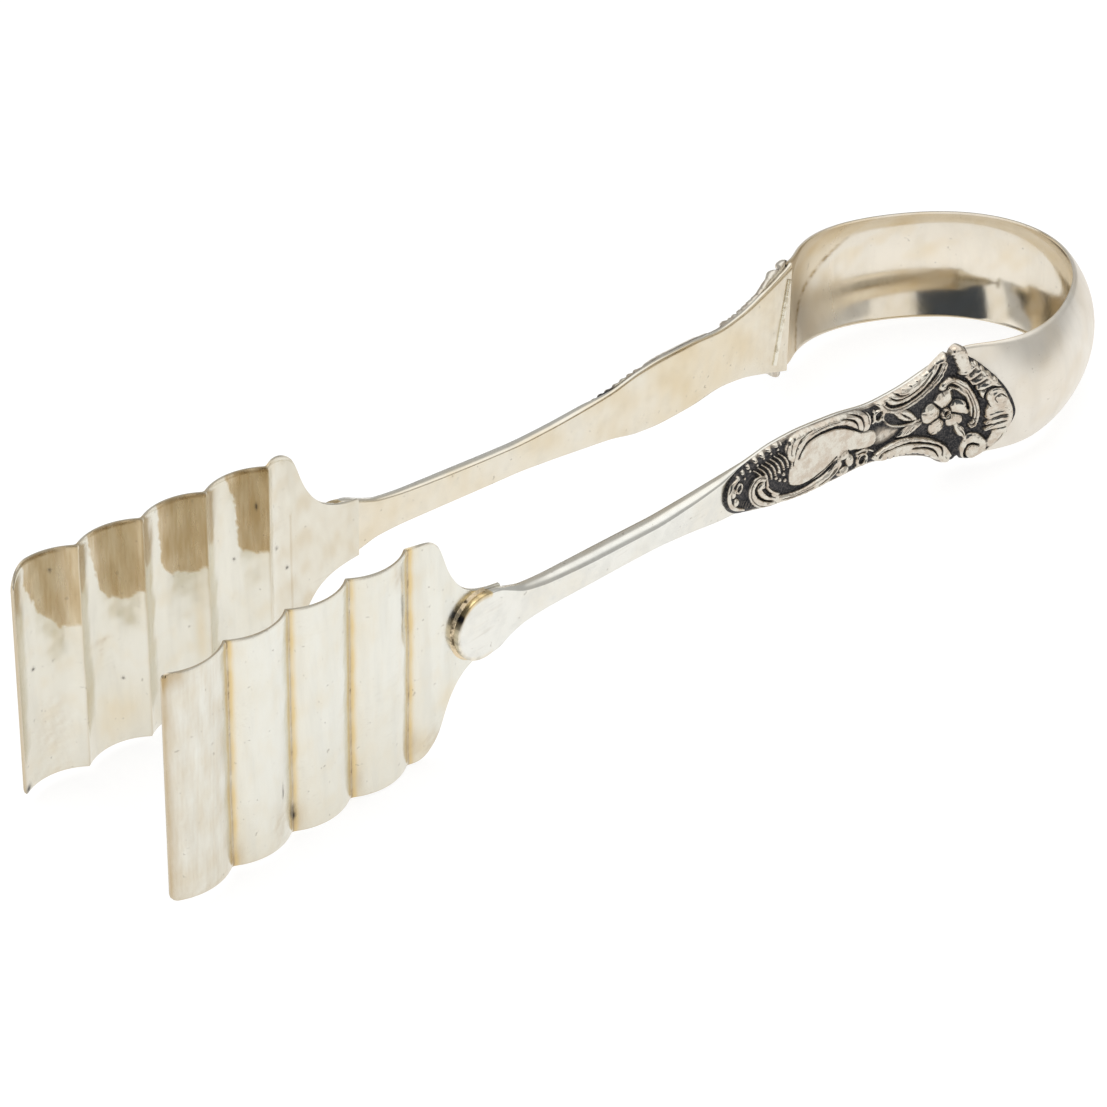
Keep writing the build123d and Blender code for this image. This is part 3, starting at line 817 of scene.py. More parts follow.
class Relief:
    """Heights over stations s and places z of a patch, built up from ridges, leaves, domes and cut lines."""

    def __init__(self, s, z):
        self.s, self.z = s, z
        self.height = np.zeros_like(s)
        self.dark = np.zeros_like(s)

    def from_line(self, line, reach):
        """The points within reach of a line, with their distance from it, side of it and share along it."""
        near = (
            (self.s > line[:, 0].min() - reach) & (self.s < line[:, 0].max() + reach)
            & (self.z > line[:, 1].min() - reach) & (self.z < line[:, 1].max() + reach)
        )
        at = np.stack([self.s[near], self.z[near]], axis=-1)
        best = np.full(len(at), 1e9)
        beside = np.zeros(len(at))
        share = np.zeros(len(at))
        for i in range(len(line) - 1):
            step = line[i + 1] - line[i]
            offset = at - line[i]
            t = np.clip((offset @ step) / (step @ step + 1e-12), 0.0, 1.0)
            gap = np.linalg.norm(offset - t[:, None] * step, axis=1)
            closer = gap < best
            best[closer] = gap[closer]
            beside[closer] = np.sign(step[0] * offset[closer, 1] - step[1] * offset[closer, 0])
            share[closer] = (i + t[closer]) / (len(line) - 1)
        return near, best, beside, share

    def raise_to(self, near, values):
        """The points near reach at least these heights."""
        self.height[near] = np.maximum(self.height[near], values)

    def ridge(self, points, widths, height, lines=()):
        """A rounded ridge along a smooth line. Widths are half widths at even steps along it, and lines are
        the places across it, from -1 to 1, where a thin groove follows it."""
        line = spline(points, count=30) if len(points) > 2 else np.asarray(points, float)
        near, gap, beside, share = self.from_line(line, max(widths))
        width = np.interp(share, np.linspace(0, 1, len(widths)), widths)
        across = np.clip(gap / width, 0.0, 1.0)
        rise = np.sqrt(1 - across ** 2)
        for place in lines:
            groove = np.exp(-(((across * beside - place) * width / 0.13) ** 2)) * (across < 1)
            rise = rise - 0.32 * groove * rise
            self.dark[near] = np.maximum(self.dark[near], 0.75 * groove)
        self.raise_to(near, height * rise)

    def leaf(self, outline, height, edge):
        """A smooth closed shape with a rounded edge."""
        line = spline([*outline, outline[0]], count=60)
        near, gap, _, _ = self.from_line(line, 0.01)
        x, y = self.s[near], self.z[near]
        inside = np.zeros(len(x), bool)
        for (x0, y0), (x1, y1) in zip(line[:-1], line[1:]):
            if y0 != y1:
                inside ^= ((y0 > y) != (y1 > y)) & (x < x0 + (x1 - x0) * (y - y0) / (y1 - y0))
        share = np.clip(gap / edge, 0.0, 1.0) * inside
        self.raise_to(near, height * np.sqrt(share * (2 - share)))

    def cut(self, points, width, depth):
        """A dark groove along a smooth line, narrower at its ends."""
        line = spline(points, count=20) if len(points) > 2 else np.asarray(points, float)
        near, gap, _, share = self.from_line(line, width)
        reach = width * (0.45 + 0.55 * np.sin(math.pi * np.clip(share, 0, 1)))
        amount = smooth_step(1.0, 0.2, gap / reach)
        height = self.height[near]
        self.height[near] = height - np.minimum(depth, height) * amount
        self.dark[near] = np.maximum(self.dark[near], amount)

    def dome(self, centre, radii, height, turn=0.0):
        """An elliptical dome; turn is in degrees."""
        c, n = math.cos(math.radians(turn)), math.sin(math.radians(turn))
        ds, dz = self.s - centre[0], self.z - centre[1]
        radius = np.sqrt(((ds * c + dz * n) / radii[0]) ** 2 + ((dz * c - ds * n) / radii[1]) ** 2)
        near = radius < 1
        self.raise_to(near, height * np.sqrt(1 - radius[near] ** 2))

    def ring(self, centre, radius, width, height):
        """A raised circle."""
        angle = np.linspace(0, 2 * math.pi, 25)
        line = np.stack([centre[0] + radius * np.cos(angle), centre[1] + radius * np.sin(angle)], axis=-1)
        near, gap, _, _ = self.from_line(line, width)
        self.raise_to(near, height * np.sqrt(1 - np.clip(gap / width, 0, 1) ** 2))

    def ridges(self, *rows):
        """Ridges one after another, each given as its height, half widths and the points of its line."""
        for height, widths, *points in rows:
            self.ridge(points, widths, height)

    def cuts(self, *rows):
        """Grooves one after another, each given as its width, depth and the points of its line."""
        for width, depth, *points in rows:
            self.cut(points, width, depth)

    def domes(self, *rows):
        """Domes one after another, each given as its centre, radii, height and perhaps its turn."""
        for row in rows:
            self.dome(*row)

    def beads(self, points, radius, height):
        """Small round domes at the points."""
        for place in points:
            self.dome(place, (radius, radius), height)


def ray(centre, angle, distance):
    """The point at an angle in degrees and a distance from a centre."""
    return (centre[0] + distance * math.cos(math.radians(angle)),
            centre[1] + distance * math.sin(math.radians(angle)))


def carve_tip(relief):
    """Rocaille at the front: beads round the tip, a shell of thin ribs and the lower volute."""
    relief.ridge([
        (134.6, 3.6), (132.6, 2.6), (131.9, 0.8), (132.6, -1.4), (134.4, -2.9), (136.6, -4.0),
    ], (0.3, 0.5, 0.55, 0.5, 0.3), 0.7)
    relief.domes(
        ((133.1, 1.0), (0.9, 1.1), 0.85),
        ((134.0, -1.3), (1.1, 0.9), 0.85, -30),
    )
    relief.ring((134.9, 1.3), 0.9, 0.3, 0.6)
    relief.beads([
        (134.4, 3.6), (135.8, 4.3), (137.4, 4.7), (139.4, 5.2), (141.2, 5.7), (143.0, 6.2), (144.8, 6.5),
    ], 0.6, 0.7)
    relief.beads([
        (136.6, 2.6), (138.0, 3.6), (139.9, 4.1), (141.6, 4.9), (143.4, 5.2), (145.2, 5.4), (145.9, 6.3),
    ], 0.4, 0.5)
    for rib in range(7):
        s = 138.9 + 1.05 * rib
        z = 3.3 + 0.22 * rib
        relief.ridge([
            (s, z), (s + 1.3, z - 1.1), (s + 2.3, z - 2.6), (s + 2.7, z - 4.0),
        ], (0.16, 0.28, 0.28, 0.16), 0.85)
    for tick in range(12):
        s = 134.6 + 0.78 * tick
        z = -2.2 - 0.27 * tick
        relief.ridge([(s + 0.7, z + 0.4), (s, z - 0.9)], (0.14, 0.18), 0.45)
    relief.ridge([
        (146.0, -5.9), (142.6, -5.2), (140.0, -3.7), (138.6, -1.5), (138.9, 0.3), (140.3, 1.0),
        (141.7, 0.5),
    ], (0.4, 0.8, 1.0, 0.9, 0.8, 0.7), 1.0, lines=(0.45,))
    relief.ridge([
        (145.2, -4.9), (142.8, -3.9), (141.2, -2.5), (140.6, -1.0), (141.4, -0.3),
    ], (0.4, 0.7, 0.75, 0.55), 0.95)
    relief.dome((141.3, -0.9), (0.75, 0.7), 1.0)
    relief.ridge([(145.6, -4.0), (143.9, -3.0), (142.8, -1.6), (142.6, -0.4)], (0.35, 0.55, 0.5, 0.3), 0.85)
    relief.cuts(
        (0.2, 0.6, (143.8, -5.0), (141.4, -3.8), (140.0, -2.0), (140.2, -0.4), (141.2, 0.1)),
        (0.22, 0.6, (144.6, -4.4), (142.6, -3.0), (141.9, -1.5), (142.2, -0.2)),
    )


def carve_cartouche(relief):
    """A plain oval shield between an upper and a lower frame of parallel mouldings."""
    relief.leaf([
        (148.2, 0.0), (150.0, 3.4), (154.0, 5.0), (159.0, 5.0), (163.6, 3.4), (167.0, 1.6), (169.5, 1.0),
        (170.0, -1.8), (167.6, -2.4), (164.0, -1.6), (160.6, -2.0), (157.0, -3.9), (151.5, -4.6),
        (148.4, -3.2),
    ], 0.66, edge=0.5)
    relief.leaf([
        (148.8, 1.0), (147.2, 3.2), (147.0, 5.8), (149.2, 7.0), (154.0, 7.2), (160.0, 7.1), (165.2, 6.5),
        (167.8, 5.4), (168.6, 3.2), (167.6, 1.5), (165.6, 2.2), (162.0, 4.5), (157.0, 5.4), (152.5, 4.6),
        (150.0, 2.6),
    ], 1.0, edge=0.75)
    relief.cuts(
        (0.24, 0.7, (149.2, 0.6), (149.4, 3.2), (149.9, 5.0), (151.4, 6.2), (153.6, 6.6)),
        (0.2, 0.6, (148.3, 3.2), (148.3, 5.0), (149.0, 6.6)),
        (0.16, 0.5, (147.5, 2.8), (147.2, 4.6), (147.6, 6.2)),
        (0.34, 0.8, (150.4, 1.6), (151.6, 3.6), (155.0, 4.9), (158.6, 5.0), (161.6, 4.3), (164.2, 2.9)),
        (0.24, 0.7, (160.6, 6.4), (163.2, 5.5), (164.7, 4.2), (165.4, 2.4)),
        (0.26, 0.7, (162.8, 6.6), (165.6, 5.2), (166.5, 3.4), (166.5, 1.9)),
        (0.2, 0.6, (165.2, 6.6), (167.3, 5.2), (167.8, 3.2)),
        (0.12, 0.25, (152.6, 6.0), (156.5, 6.4), (160.4, 6.2)),
    )
    relief.leaf([
        (143.9, -2.3), (145.4, -4.0), (148.8, -5.1), (152.6, -5.2), (156.4, -4.4), (159.0, -3.2),
        (160.9, -1.5), (161.6, -2.8), (160.2, -5.2), (157.2, -6.6), (152.0, -6.9), (146.8, -6.5),
        (143.8, -4.9),
    ], 1.0, edge=0.8)
    relief.cuts(
        (0.36, 0.85, (142.9, -1.4), (144.9, -3.2), (148.6, -4.4), (152.6, -4.5), (156.6, -3.5),
         (160.2, -1.5)),
        (0.28, 0.7, (155.8, -6.0), (158.2, -5.3), (160.4, -3.6)),
        (0.2, 0.6, (158.2, -6.4), (160.2, -5.2), (161.6, -3.9)),
        (0.12, 0.25, (146.0, -5.4), (150.0, -6.0), (154.4, -5.8)),
    )
    relief.domes(
        ((162.2, -1.8), (1.5, 1.1), 1.1, 25),
        ((163.6, -3.4), (1.1, 1.6), 1.1, 15),
        ((162.0, -5.3), (1.7, 1.0), 1.0, 10),
        ((160.9, -3.5), (0.8, 1.1), 1.0, -20),
    )
    relief.cuts(
        (0.2, 0.6, (161.4, -4.6), (162.4, -3.4), (162.3, -2.5)),
        (0.2, 0.6, (163.0, -1.0), (163.9, -2.2)),
    )
    relief.beads([(145.0, -0.6), (146.0, -1.4), (146.9, -0.5), (145.6, 0.6), (147.4, -2.0)], 0.5, 0.6)


def carve_worn_ground(relief):
    """The rubbed ground between the shield and the flower."""
    relief.leaf([
        (168.0, 1.6), (171.5, 1.6), (175.0, 0.8), (176.5, -1.0), (174.5, -2.6), (170.0, -2.9),
        (167.0, -1.0),
    ], 0.50, edge=2.6)


def carve_boxes(relief):
    """Two small rings in square settings beside the cartouche."""
    for centre in ((170.4, 3.9), (166.8, -4.4)):
        relief.ring(centre, 1.15, 0.36, 0.9)
        relief.dome(centre, (0.55, 0.55), 0.28)
        for corner in (45, 135, 225, 315):
            relief.dome(ray(centre, corner, 1.75), (0.45, 0.45), 0.6)
    relief.ridge([(165.2, -2.6), (167.6, -2.6), (169.4, -3.4)], (0.25, 0.35, 0.3), 0.8)


def carve_side_scrolls(relief):
    """The leafy C-scrolls along the upper and lower edge."""
    relief.leaf([
        (171.6, 7.2), (172.6, 5.4), (175.0, 4.5), (178.6, 4.8), (182.0, 6.4), (184.2, 8.6), (185.2, 11.0),
        (184.0, 11.4), (181.0, 9.2), (177.0, 8.0), (173.4, 7.6),
    ], 0.85, edge=0.9)
    relief.ridge([
        (170.2, 7.0), (171.2, 5.4), (173.0, 4.1), (176.2, 3.6), (179.8, 4.4), (182.8, 5.9), (185.2, 7.8),
        (186.2, 9.8),
    ], (0.75, 0.8, 0.6, 0.55, 0.6, 0.7, 0.75), 1.15, lines=(0.3,))
    relief.domes(
        ((171.0, 6.7), (1.4, 0.9), 1.25, -40),
        ((185.3, 11.2), (1.4, 1.0), 1.25, 30),
    )
    relief.ridge([(172.8, 7.4), (175.6, 7.4), (179.0, 8.3), (182.0, 10.2)], (0.7, 0.95, 1.0, 0.6), 1.05)
    for notch in range(6):
        s = 174.0 + 1.45 * notch
        z = 6.9 + 0.28 * notch + 0.05 * notch * notch
        relief.cut([(s - 0.9, z + 1.4), (s + 0.1, z + 0.4), (s + 1.2, z - 0.1)], 0.22, 0.75)
    relief.cuts(
        (0.26, 0.7, (172.8, 7.0), (174.2, 6.0), (177.2, 5.7), (180.4, 6.9), (183.0, 9.3)),
        (0.2, 0.6, (173.6, 7.8), (175.2, 6.6), (177.6, 6.2)),
        (0.2, 0.6, (171.6, 6.6), (173.0, 4.9), (176.2, 4.2), (179.8, 5.0), (182.8, 6.7), (184.6, 8.8),
         (184.9, 10.6)),
        (0.16, 0.5, (182.8, 7.4), (183.8, 9.2), (184.0, 10.8)),
    )
    relief.leaf([
        (168.8, -4.9), (171.4, -3.6), (175.6, -3.2), (179.8, -3.9), (183.8, -5.5), (187.0, -7.5),
        (189.0, -10.2), (188.2, -11.9), (186.4, -11.4), (182.0, -8.6), (177.0, -7.2), (171.0, -6.5),
    ], 0.95, edge=0.7)
    relief.ridges(
        (1.2, (0.45, 0.6, 0.65, 0.65, 0.6, 0.6), (170.0, -4.6), (172.8, -3.8), (176.4, -3.7), (180.2, -4.5),
         (184.0, -6.2), (187.2, -8.4), (188.9, -10.8)),
        (1.1, (0.4, 0.7, 0.75, 0.6), (178.4, -5.5), (181.6, -6.1), (184.6, -7.6), (186.4, -9.3)),
    )
    relief.dome((188.0, -11.4), (1.4, 1.0), 1.25, -45)
    relief.cuts(
        (0.24, 0.75, (172.4, -4.8), (176.8, -4.5), (180.8, -5.4), (184.6, -7.0), (187.0, -9.2),
         (187.0, -10.2)),
        (0.26, 0.8, (168.4, -5.9), (169.8, -4.3)),
        (0.26, 0.8, (170.6, -6.2), (171.8, -4.7), (173.2, -4.4)),
        (0.22, 0.7, (179.2, -6.2), (182.2, -7.0), (185.2, -8.9), (186.0, -10.2)),
    )
    for notch in range(8):
        s = 173.4 + 1.55 * notch
        z = -6.1 - 0.07 * notch - 0.055 * notch * notch
        relief.cut([(s - 0.3, z), (s + 0.3, z - 1.0)], 0.2, 0.8)


def carve_flower(relief):
    """A five-petalled flower with its bud, leaves and stem on the dark ground."""
    centre = (187.2, -1.1)
    # angle, distance, length and breadth of each petal
    petals = ((103, 3.2, 2.1, 2.7), (165, 3.7, 2.5, 2.4), (228, 3.1, 2.0, 2.1), (314, 2.6, 1.8, 1.75),
              (16, 2.6, 1.8, 1.85))
    for angle, away, length, breadth in petals:
        relief.dome(ray(centre, angle, away), (length, breadth), 1.1, angle)
    for angle, away, length, _ in petals:
        relief.cut([
            ray(centre, angle, away + 0.9 * length), ray(centre, angle, away + 0.5 * length),
        ], 0.16, 0.25)
    for angle in (135, 196, 271, 346, 55):
        relief.cut([ray(centre, angle, 0.6), ray(centre, angle, 4.6)], 0.22, 1.0)
    relief.cut([ray(centre, angle, 1.3) for angle in range(0, 361, 45)], 0.22, 0.8)
    relief.ring(centre, 0.85, 0.36, 1.2)
    relief.cut([(187.2, -0.7), (187.2, -1.1), (187.2, -1.6)], 0.5, 1.0)
    relief.dome((191.2, -1.3), (1.05, 0.8), 0.95, -15)
    relief.leaf([
        (189.4, -4.2), (190.4, -4.4), (191.6, -6.0), (191.8, -7.4), (190.6, -7.0), (189.6, -5.8),
    ], 0.8, edge=0.5)
    relief.cuts(
        (0.16, 0.5, (189.8, -4.6), (191.4, -6.9)),
        (0.12, 0.4, (190.4, -4.8), (191.4, -5.9)),
    )
    relief.ridge([
        (171.6, 2.6), (173.2, 0.9), (175.6, -0.2), (178.4, -0.6), (180.9, -0.5),
    ], (0.2, 0.3, 0.3, 0.25), 0.8)
    relief.leaf([
        (174.0, 3.1), (176.4, 3.3), (178.8, 1.9), (180.2, -0.2), (178.0, 0.0), (175.4, 1.4),
    ], 0.95, edge=0.8)
    relief.leaf([
        (175.0, -2.6), (176.8, -1.1), (179.4, -0.7), (181.6, -1.3), (179.8, -2.5), (177.4, -3.1),
    ], 0.95, edge=0.8)
    for vein in range(3):
        relief.cuts(
            (0.15, 0.5, (175.6 + vein, 2.8 - 0.7 * vein), (177.2 + 0.8 * vein, 1.3 - 0.6 * vein)),
            (0.15, 0.5, (176.4 + vein, -2.5 + 0.15 * vein), (177.6 + 0.9 * vein, -1.6 + 0.15 * vein)),
        )


def carve_inner_scroll(relief):
    """The C-scroll between the flower and the acanthus, with a curl at each end."""
    relief.ridge([
        (186.0, 5.3), (187.8, 5.8), (189.8, 4.9), (191.8, 3.0), (193.3, 0.6), (193.9, -2.0), (193.5, -4.2),
    ], (0.7, 0.8, 0.85, 0.85, 0.85, 0.75), 1.2, lines=(-0.25,))
    relief.ridge([
        (188.4, 4.1), (190.0, 3.2), (191.4, 1.6), (192.4, -0.4), (192.6, -2.4),
    ], (0.35, 0.5, 0.5, 0.35), 1.0)
    relief.domes(
        ((186.1, 5.0), (1.0, 0.9), 1.2, 30),
        ((187.9, 4.1), (0.6, 0.5), 1.0),
        ((193.0, -4.5), (0.95, 0.85), 1.2),
    )
    relief.cuts(
        (0.16, 0.6, (192.2, -3.6), (192.7, -4.3), (193.4, -4.1), (193.7, -3.4)),
        (0.14, 0.5, (192.5, -2.8), (193.2, -3.1), (193.9, -2.8)),
    )


def carve_acanthus(relief):
    """The broad leaf round the tongue: knob, fingers, a round lobe, a second leaf and the lower volute."""
    relief.leaf([
        (187.9, 12.0), (189.2, 12.9), (190.6, 12.0), (191.2, 9.8), (193.6, 8.2), (196.0, 6.1), (198.2, 3.4),
        (199.6, 0.4), (200.2, -2.6), (199.8, -5.2), (198.6, -8.0), (197.0, -10.2), (195.9, -9.4),
        (196.7, -7.2), (196.9, -5.4), (195.9, -3.4), (195.4, -1.2), (195.7, 0.6), (194.4, 1.5),
        (193.8, 3.1), (191.7, 4.8), (189.9, 6.8), (188.8, 9.2),
    ], 0.95, edge=0.8)
    relief.dome((188.9, 11.9), (1.7, 1.25), 1.3, -10)
    relief.ridge([(188.8, 10.8), (189.8, 9.8), (190.8, 8.9)], (0.7, 0.75, 0.6), 1.05)
    for finger in range(4):
        s = 192.4 + 1.25 * finger
        z = 8.5 - 1.15 * finger
        relief.ridge([(s + 0.6, z + 0.2), (s - 0.8, z - 0.8), (s - 2.6, z - 1.5)], (0.7, 0.75, 0.4), 1.15)
        relief.cut([(s + 0.5, z - 0.6), (s - 0.8, z - 1.6), (s - 2.4, z - 2.2)], 0.16, 0.7)
    relief.ridge([
        (192.0, 9.0), (194.4, 7.2), (196.4, 5.2), (198.2, 2.6), (199.2, 0.2),
    ], (0.35, 0.55, 0.6, 0.5, 0.3), 1.05)
    relief.dome((197.2, 1.7), (1.6, 1.9), 1.35)
    relief.cuts(
        (0.28, 0.9, (198.6, 3.4), (196.9, 3.9), (195.5, 2.9), (195.3, 1.2), (196.2, -0.2)),
        (0.16, 0.5, (198.6, 1.9), (197.6, 2.5), (196.8, 1.8), (197.2, 0.8)),
    )
    relief.ridge([(196.4, -0.2), (198.0, -0.3), (199.2, -1.6), (199.4, -3.4)], (0.5, 0.7, 0.7, 0.5), 1.05)
    for finger in range(3):
        z = -1.2 - 1.45 * finger
        relief.ridge([(199.0, z), (197.3, z - 0.6), (195.8, z - 1.5)], (0.65, 0.7, 0.4), 1.1)
        relief.cut([(199.0, z - 0.8), (197.4, z - 1.4), (196.1, z - 2.2)], 0.15, 0.65)
    relief.ridge([
        (197.5, -6.3), (198.2, -5.4), (199.2, -6.2), (198.8, -8.0), (197.6, -9.7), (196.3, -10.9),
    ], (0.35, 0.45, 0.5, 0.45, 0.4), 1.0)
    relief.leaf([
        (190.5, -9.8), (190.8, -7.8), (192.5, -6.3), (194.8, -6.5), (196.4, -8.2), (196.7, -10.4),
        (195.4, -12.1), (193.2, -12.6), (191.4, -11.8),
    ], 1.15, edge=1.2)
    relief.cut([(193.2, -12.3), (191.9, -11.0), (192.0, -9.5), (193.2, -8.7), (194.8, -9.0)], 0.5, 1.1)
    relief.dome((193.7, -10.7), (1.3, 1.2), 1.4)
    relief.cuts(
        (0.45, 1.0, (187.4, 12.8), (187.2, 10.6), (187.8, 8.4)),
        (0.45, 1.0, (190.1, -13.2), (189.9, -10.8), (189.4, -8.4)),
    )


CARVINGS = (
    carve_tip, carve_cartouche, carve_worn_ground, carve_boxes, carve_side_scrolls, carve_flower,
    carve_inner_scroll, carve_acanthus,
)


def ornament_seat(s, z):
    """Height of the ornament's underside above the arm's inner face, or its extension along the bow."""
    on_shank = np.interp(s, (131.0, 134.0, 137.0, 142.0, 146.0), (2.05, 1.55, 1.02, 0.85, 0.80))
    past = s - ARM_END
    crown = arc_height(np.clip(z, -BAND_HALF_WIDTH, BAND_HALF_WIDTH), BAND_HALF_WIDTH, dome_at(past))
    on_band = BAND_OFFSET + BAND_SHEET + crown
    return on_shank + (on_band - 0.05 - on_shank) * smooth_step(-1.6, 0.6, past)


def on_ornament_rail(s):
    """Point in plan on the arm's inner face, or its extension along the bow, and the outward direction."""
    before = np.minimum(s, ARM_END)
    arm_out = outward(arm_slope(before))
    arm_point = np.stack([before, arm_inner(before)], axis=-1)
    bow_point, bow_out = on_bow(np.maximum(s - ARM_END - SOLDER_FILM, 0.0))
    past = (s > ARM_END)[:, None]
    return np.where(past, bow_point - BAND_OFFSET * bow_out, arm_point), np.where(past, bow_out, arm_out)


def blurred(grid, reach):
    """A grid of values blurred by a few cells along both of its axes."""
    for axis in (0, 1):
        grid = np.apply_along_axis(softened, axis, grid, 1.0, reach)
    return grid


def make_ornament(name, side, material):
    """A cast ornament: a height field over its outline, closed by an underside that follows arm and bow."""
    tip_end, tongue_start = 133.5, 198.5
    s = np.concatenate([
        crowded_start(ORNAMENT_START, tip_end, 26),
        np.arange(tip_end + RELIEF_STEP, tongue_start - 0.1, RELIEF_STEP),
        crowded_end(tongue_start, ORNAMENT_END, 30),
    ])
    t = np.linspace(-1.0, 1.0, RELIEF_COLUMNS)
    upper = eased(s, UPPER_OUTLINE[:, 0], UPPER_OUTLINE[:, 1])
    lower = eased(s, LOWER_OUTLINE[:, 0], LOWER_OUTLINE[:, 1])
    middle, half = (upper + lower) / 2, np.maximum((upper - lower) / 2, 0.02)
    z = middle[:, None] + half[:, None] * t[None, :]
    ss = np.repeat(s[:, None], RELIEF_COLUMNS, axis=1)
    relief = Relief(ss.ravel(), z.ravel())
    for carve in CARVINGS:
        carve(relief)
    raised = np.maximum(relief.height.reshape(z.shape), 0.0)
    cuts = relief.dark.reshape(z.shape)
    # Old wear softens the relief, and the recessed ground has a grain
    wear = wave_noise(ss, z, 1.5, 43)
    grain = 0.05 * wave_noise(ss, z, 0.75, 41, octaves=2)
    raised = raised * (1 + 0.10 * wear) + grain * smooth_step(0.4, 0.0, raised)
    raised = blurred(np.maximum(raised, 0.0), 0.8)
    around = blurred(raised, 4.0)
    # The rim rolls over towards the underside
    rim_gap = np.minimum(half[:, None] * (1 - np.abs(t))[None, :], np.minimum(s - s[0], s[-1] - s)[:, None])
    roll = np.clip(rim_gap / 1.1, 0.0, 1.0)
    lift = 0.25 + 0.75 * np.sqrt(roll * (2 - roll))
    height = ornament_seat(ss, z) + lift * (GROUND + raised)
    # Black lies on low ground, in hollows beside raised metal and in cut lines
    low = smooth_step(0.62, 0.12, raised)
    hollow = np.clip((around - raised) / 0.26, 0.0, 1.0)
    proud = np.clip((raised - around) / 0.25, 0.0, 1.0)
    recess = 0.95 * low + 0.85 * hollow - 0.30 * proud + 0.08 + 0.10 * wear
    recess = np.maximum(recess, 0.9 * cuts)
    on_arm = smooth_step(136.0, 140.0, ss) * smooth_step(190.8, 188.5, ss)
    recess = recess * (1 - 0.75 * smooth_step(0.8, 0.3, rim_gap) * on_arm)
    recess = np.maximum(recess, 0.9 * smooth_step(0.16, 0.05, rim_gap) * (1 - on_arm))
    # The underside has fewer columns than the top
    point, out = on_ornament_rail(s)
    top = lay_out(point[:, None, :], out[:, None, :], height, z)
    under_t = np.linspace(1.0, -1.0, UNDER_COLUMNS)
    skirt_z = middle[:, None] + half[:, None] * under_t[None, :]
    skirt_height = ornament_seat(s[:, None] + 0 * skirt_z, skirt_z) - 0.04
    bottom = lay_out(point[:, None, :], out[:, None, :], skirt_height, skirt_z)
    points, faces = skin(np.concatenate([top, bottom], axis=1))
    skirt_recess = np.repeat(0.9 - 0.7 * on_arm[:, :1], UNDER_COLUMNS, axis=1)
    marks = np.concatenate([recess, skirt_recess], axis=1)
    return add_piece(name, points, faces, side, material, {"recess": np.clip(marks, 0, 1)})


# ---------------------------------------------------------------- assembly
jaw_metal = silver(
    "jaw_silver", clean=(0.785, 0.775, 0.705), warm=(0.72, 0.683, 0.575),
    roughness=0.20, mottle=0.45, wave=0.18, pits=0.35, brush=(1.0, 1.0, 0.14),
)
arm_metal = silver(
    "arm_silver", clean=(0.80, 0.79, 0.735), warm=(0.74, 0.69, 0.58),
    roughness=0.20, mottle=0.5, wave=0.15, pits=0.4,
)
bow_metal = silver(
    "bow_silver", clean=(0.85, 0.82, 0.755), warm=(0.80, 0.735, 0.63),
    roughness=0.12, mottle=0.4, wave=0.2, pits=0.3, brush=(1.0, 1.0, 0.2),
)
ornament_metal = relief_silver()
bead_metals = {
    "_blade_solder": solder_metal("blade_solder", (0.76, 0.62, 0.42), (0.13, 0.10, 0.06)),
    "_bow_solder": solder_metal("bow_solder", (0.80, 0.765, 0.66), (0.74, 0.68, 0.54)),
}

for side_name, side in SIDES.items():
    body = side_name + "_side"
    jaw = make_jaw(side_name + "_jaw", side, jaw_metal, TOP_CORNERS[side_name])
    stand_for(jaw, side_name + "_blade", body)
    arm = make_arm(side_name + "_shank", side, arm_metal)
    stand_for(arm, side_name + "_arm", body)
    ornament = make_ornament(side_name + "_relief", side, ornament_metal)
    stand_for(ornament, side_name + "_ornament", body)
    for bead, bead_metal in bead_metals.items():
        bead_node = frame["nodes"][side_name + bead]
        bead_node.data.materials.clear()
        bead_node.data.materials.append(bead_metal)
    half_bow = make_bow_half(side_name + "_bow_half", side, bow_metal)
    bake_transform(half_bow)
    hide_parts("bow")


# ---------------------------------------------------------------- floor, light and camera
FLOOR_SIZE, FLOOR_CELLS = 5.0, 8
PAPER, PAPER_LIGHT = (0.34, 0.34, 0.34), (0.37, 0.37, 0.37)
PAPER_GLOW = 0.78

KEY_PLACE = (-0.1, -0.1, 1.2)
KEY_SIZE = 0.7
KEY_POWER = 1.6
KEY_COLOUR = (1.0, 0.99, 0.97)

# Turn, height above the horizon and roll of the main view, the point that it looks at and its lens
VIEW_TURN, VIEW_LIFT, VIEW_ROLL = math.radians(-43.207), math.radians(31.616), math.radians(0.798)
VIEW_TARGET = np.array([99.0, 0.0, 0.0])
VIEW_DISTANCE = 723.7
SENSOR, LENS = 36.0, 130.08
SHIFT = (0.0265, -0.0285)

WALL = (0.52, 0.52, 0.515)
CEILING = (1.25, 1.25, 1.25)
# The tent and its hole as they are seen from the tongs: limits across and above, as slopes from the line
# to the camera, and the softness of those edges
TENT = (1.0, 0.99, 0.97)
TENT_ACROSS, TENT_ABOVE, TENT_SOFT = (-1.0, 0.80), (-0.7, 1.9), (0.03, 0.05)
HOLE = (0.06, 0.07, 0.085)
HOLE_ACROSS, HOLE_ABOVE, HOLE_SOFT = (-0.52, 0.34), (-0.5, 1.15), (0.012, 0.012)


def matrix_at(axes, at):
    """The matrix of an object with those axes, as columns, at a point."""
    return Matrix(np.vstack([np.column_stack([axes, at]), (0, 0, 0, 1)]))


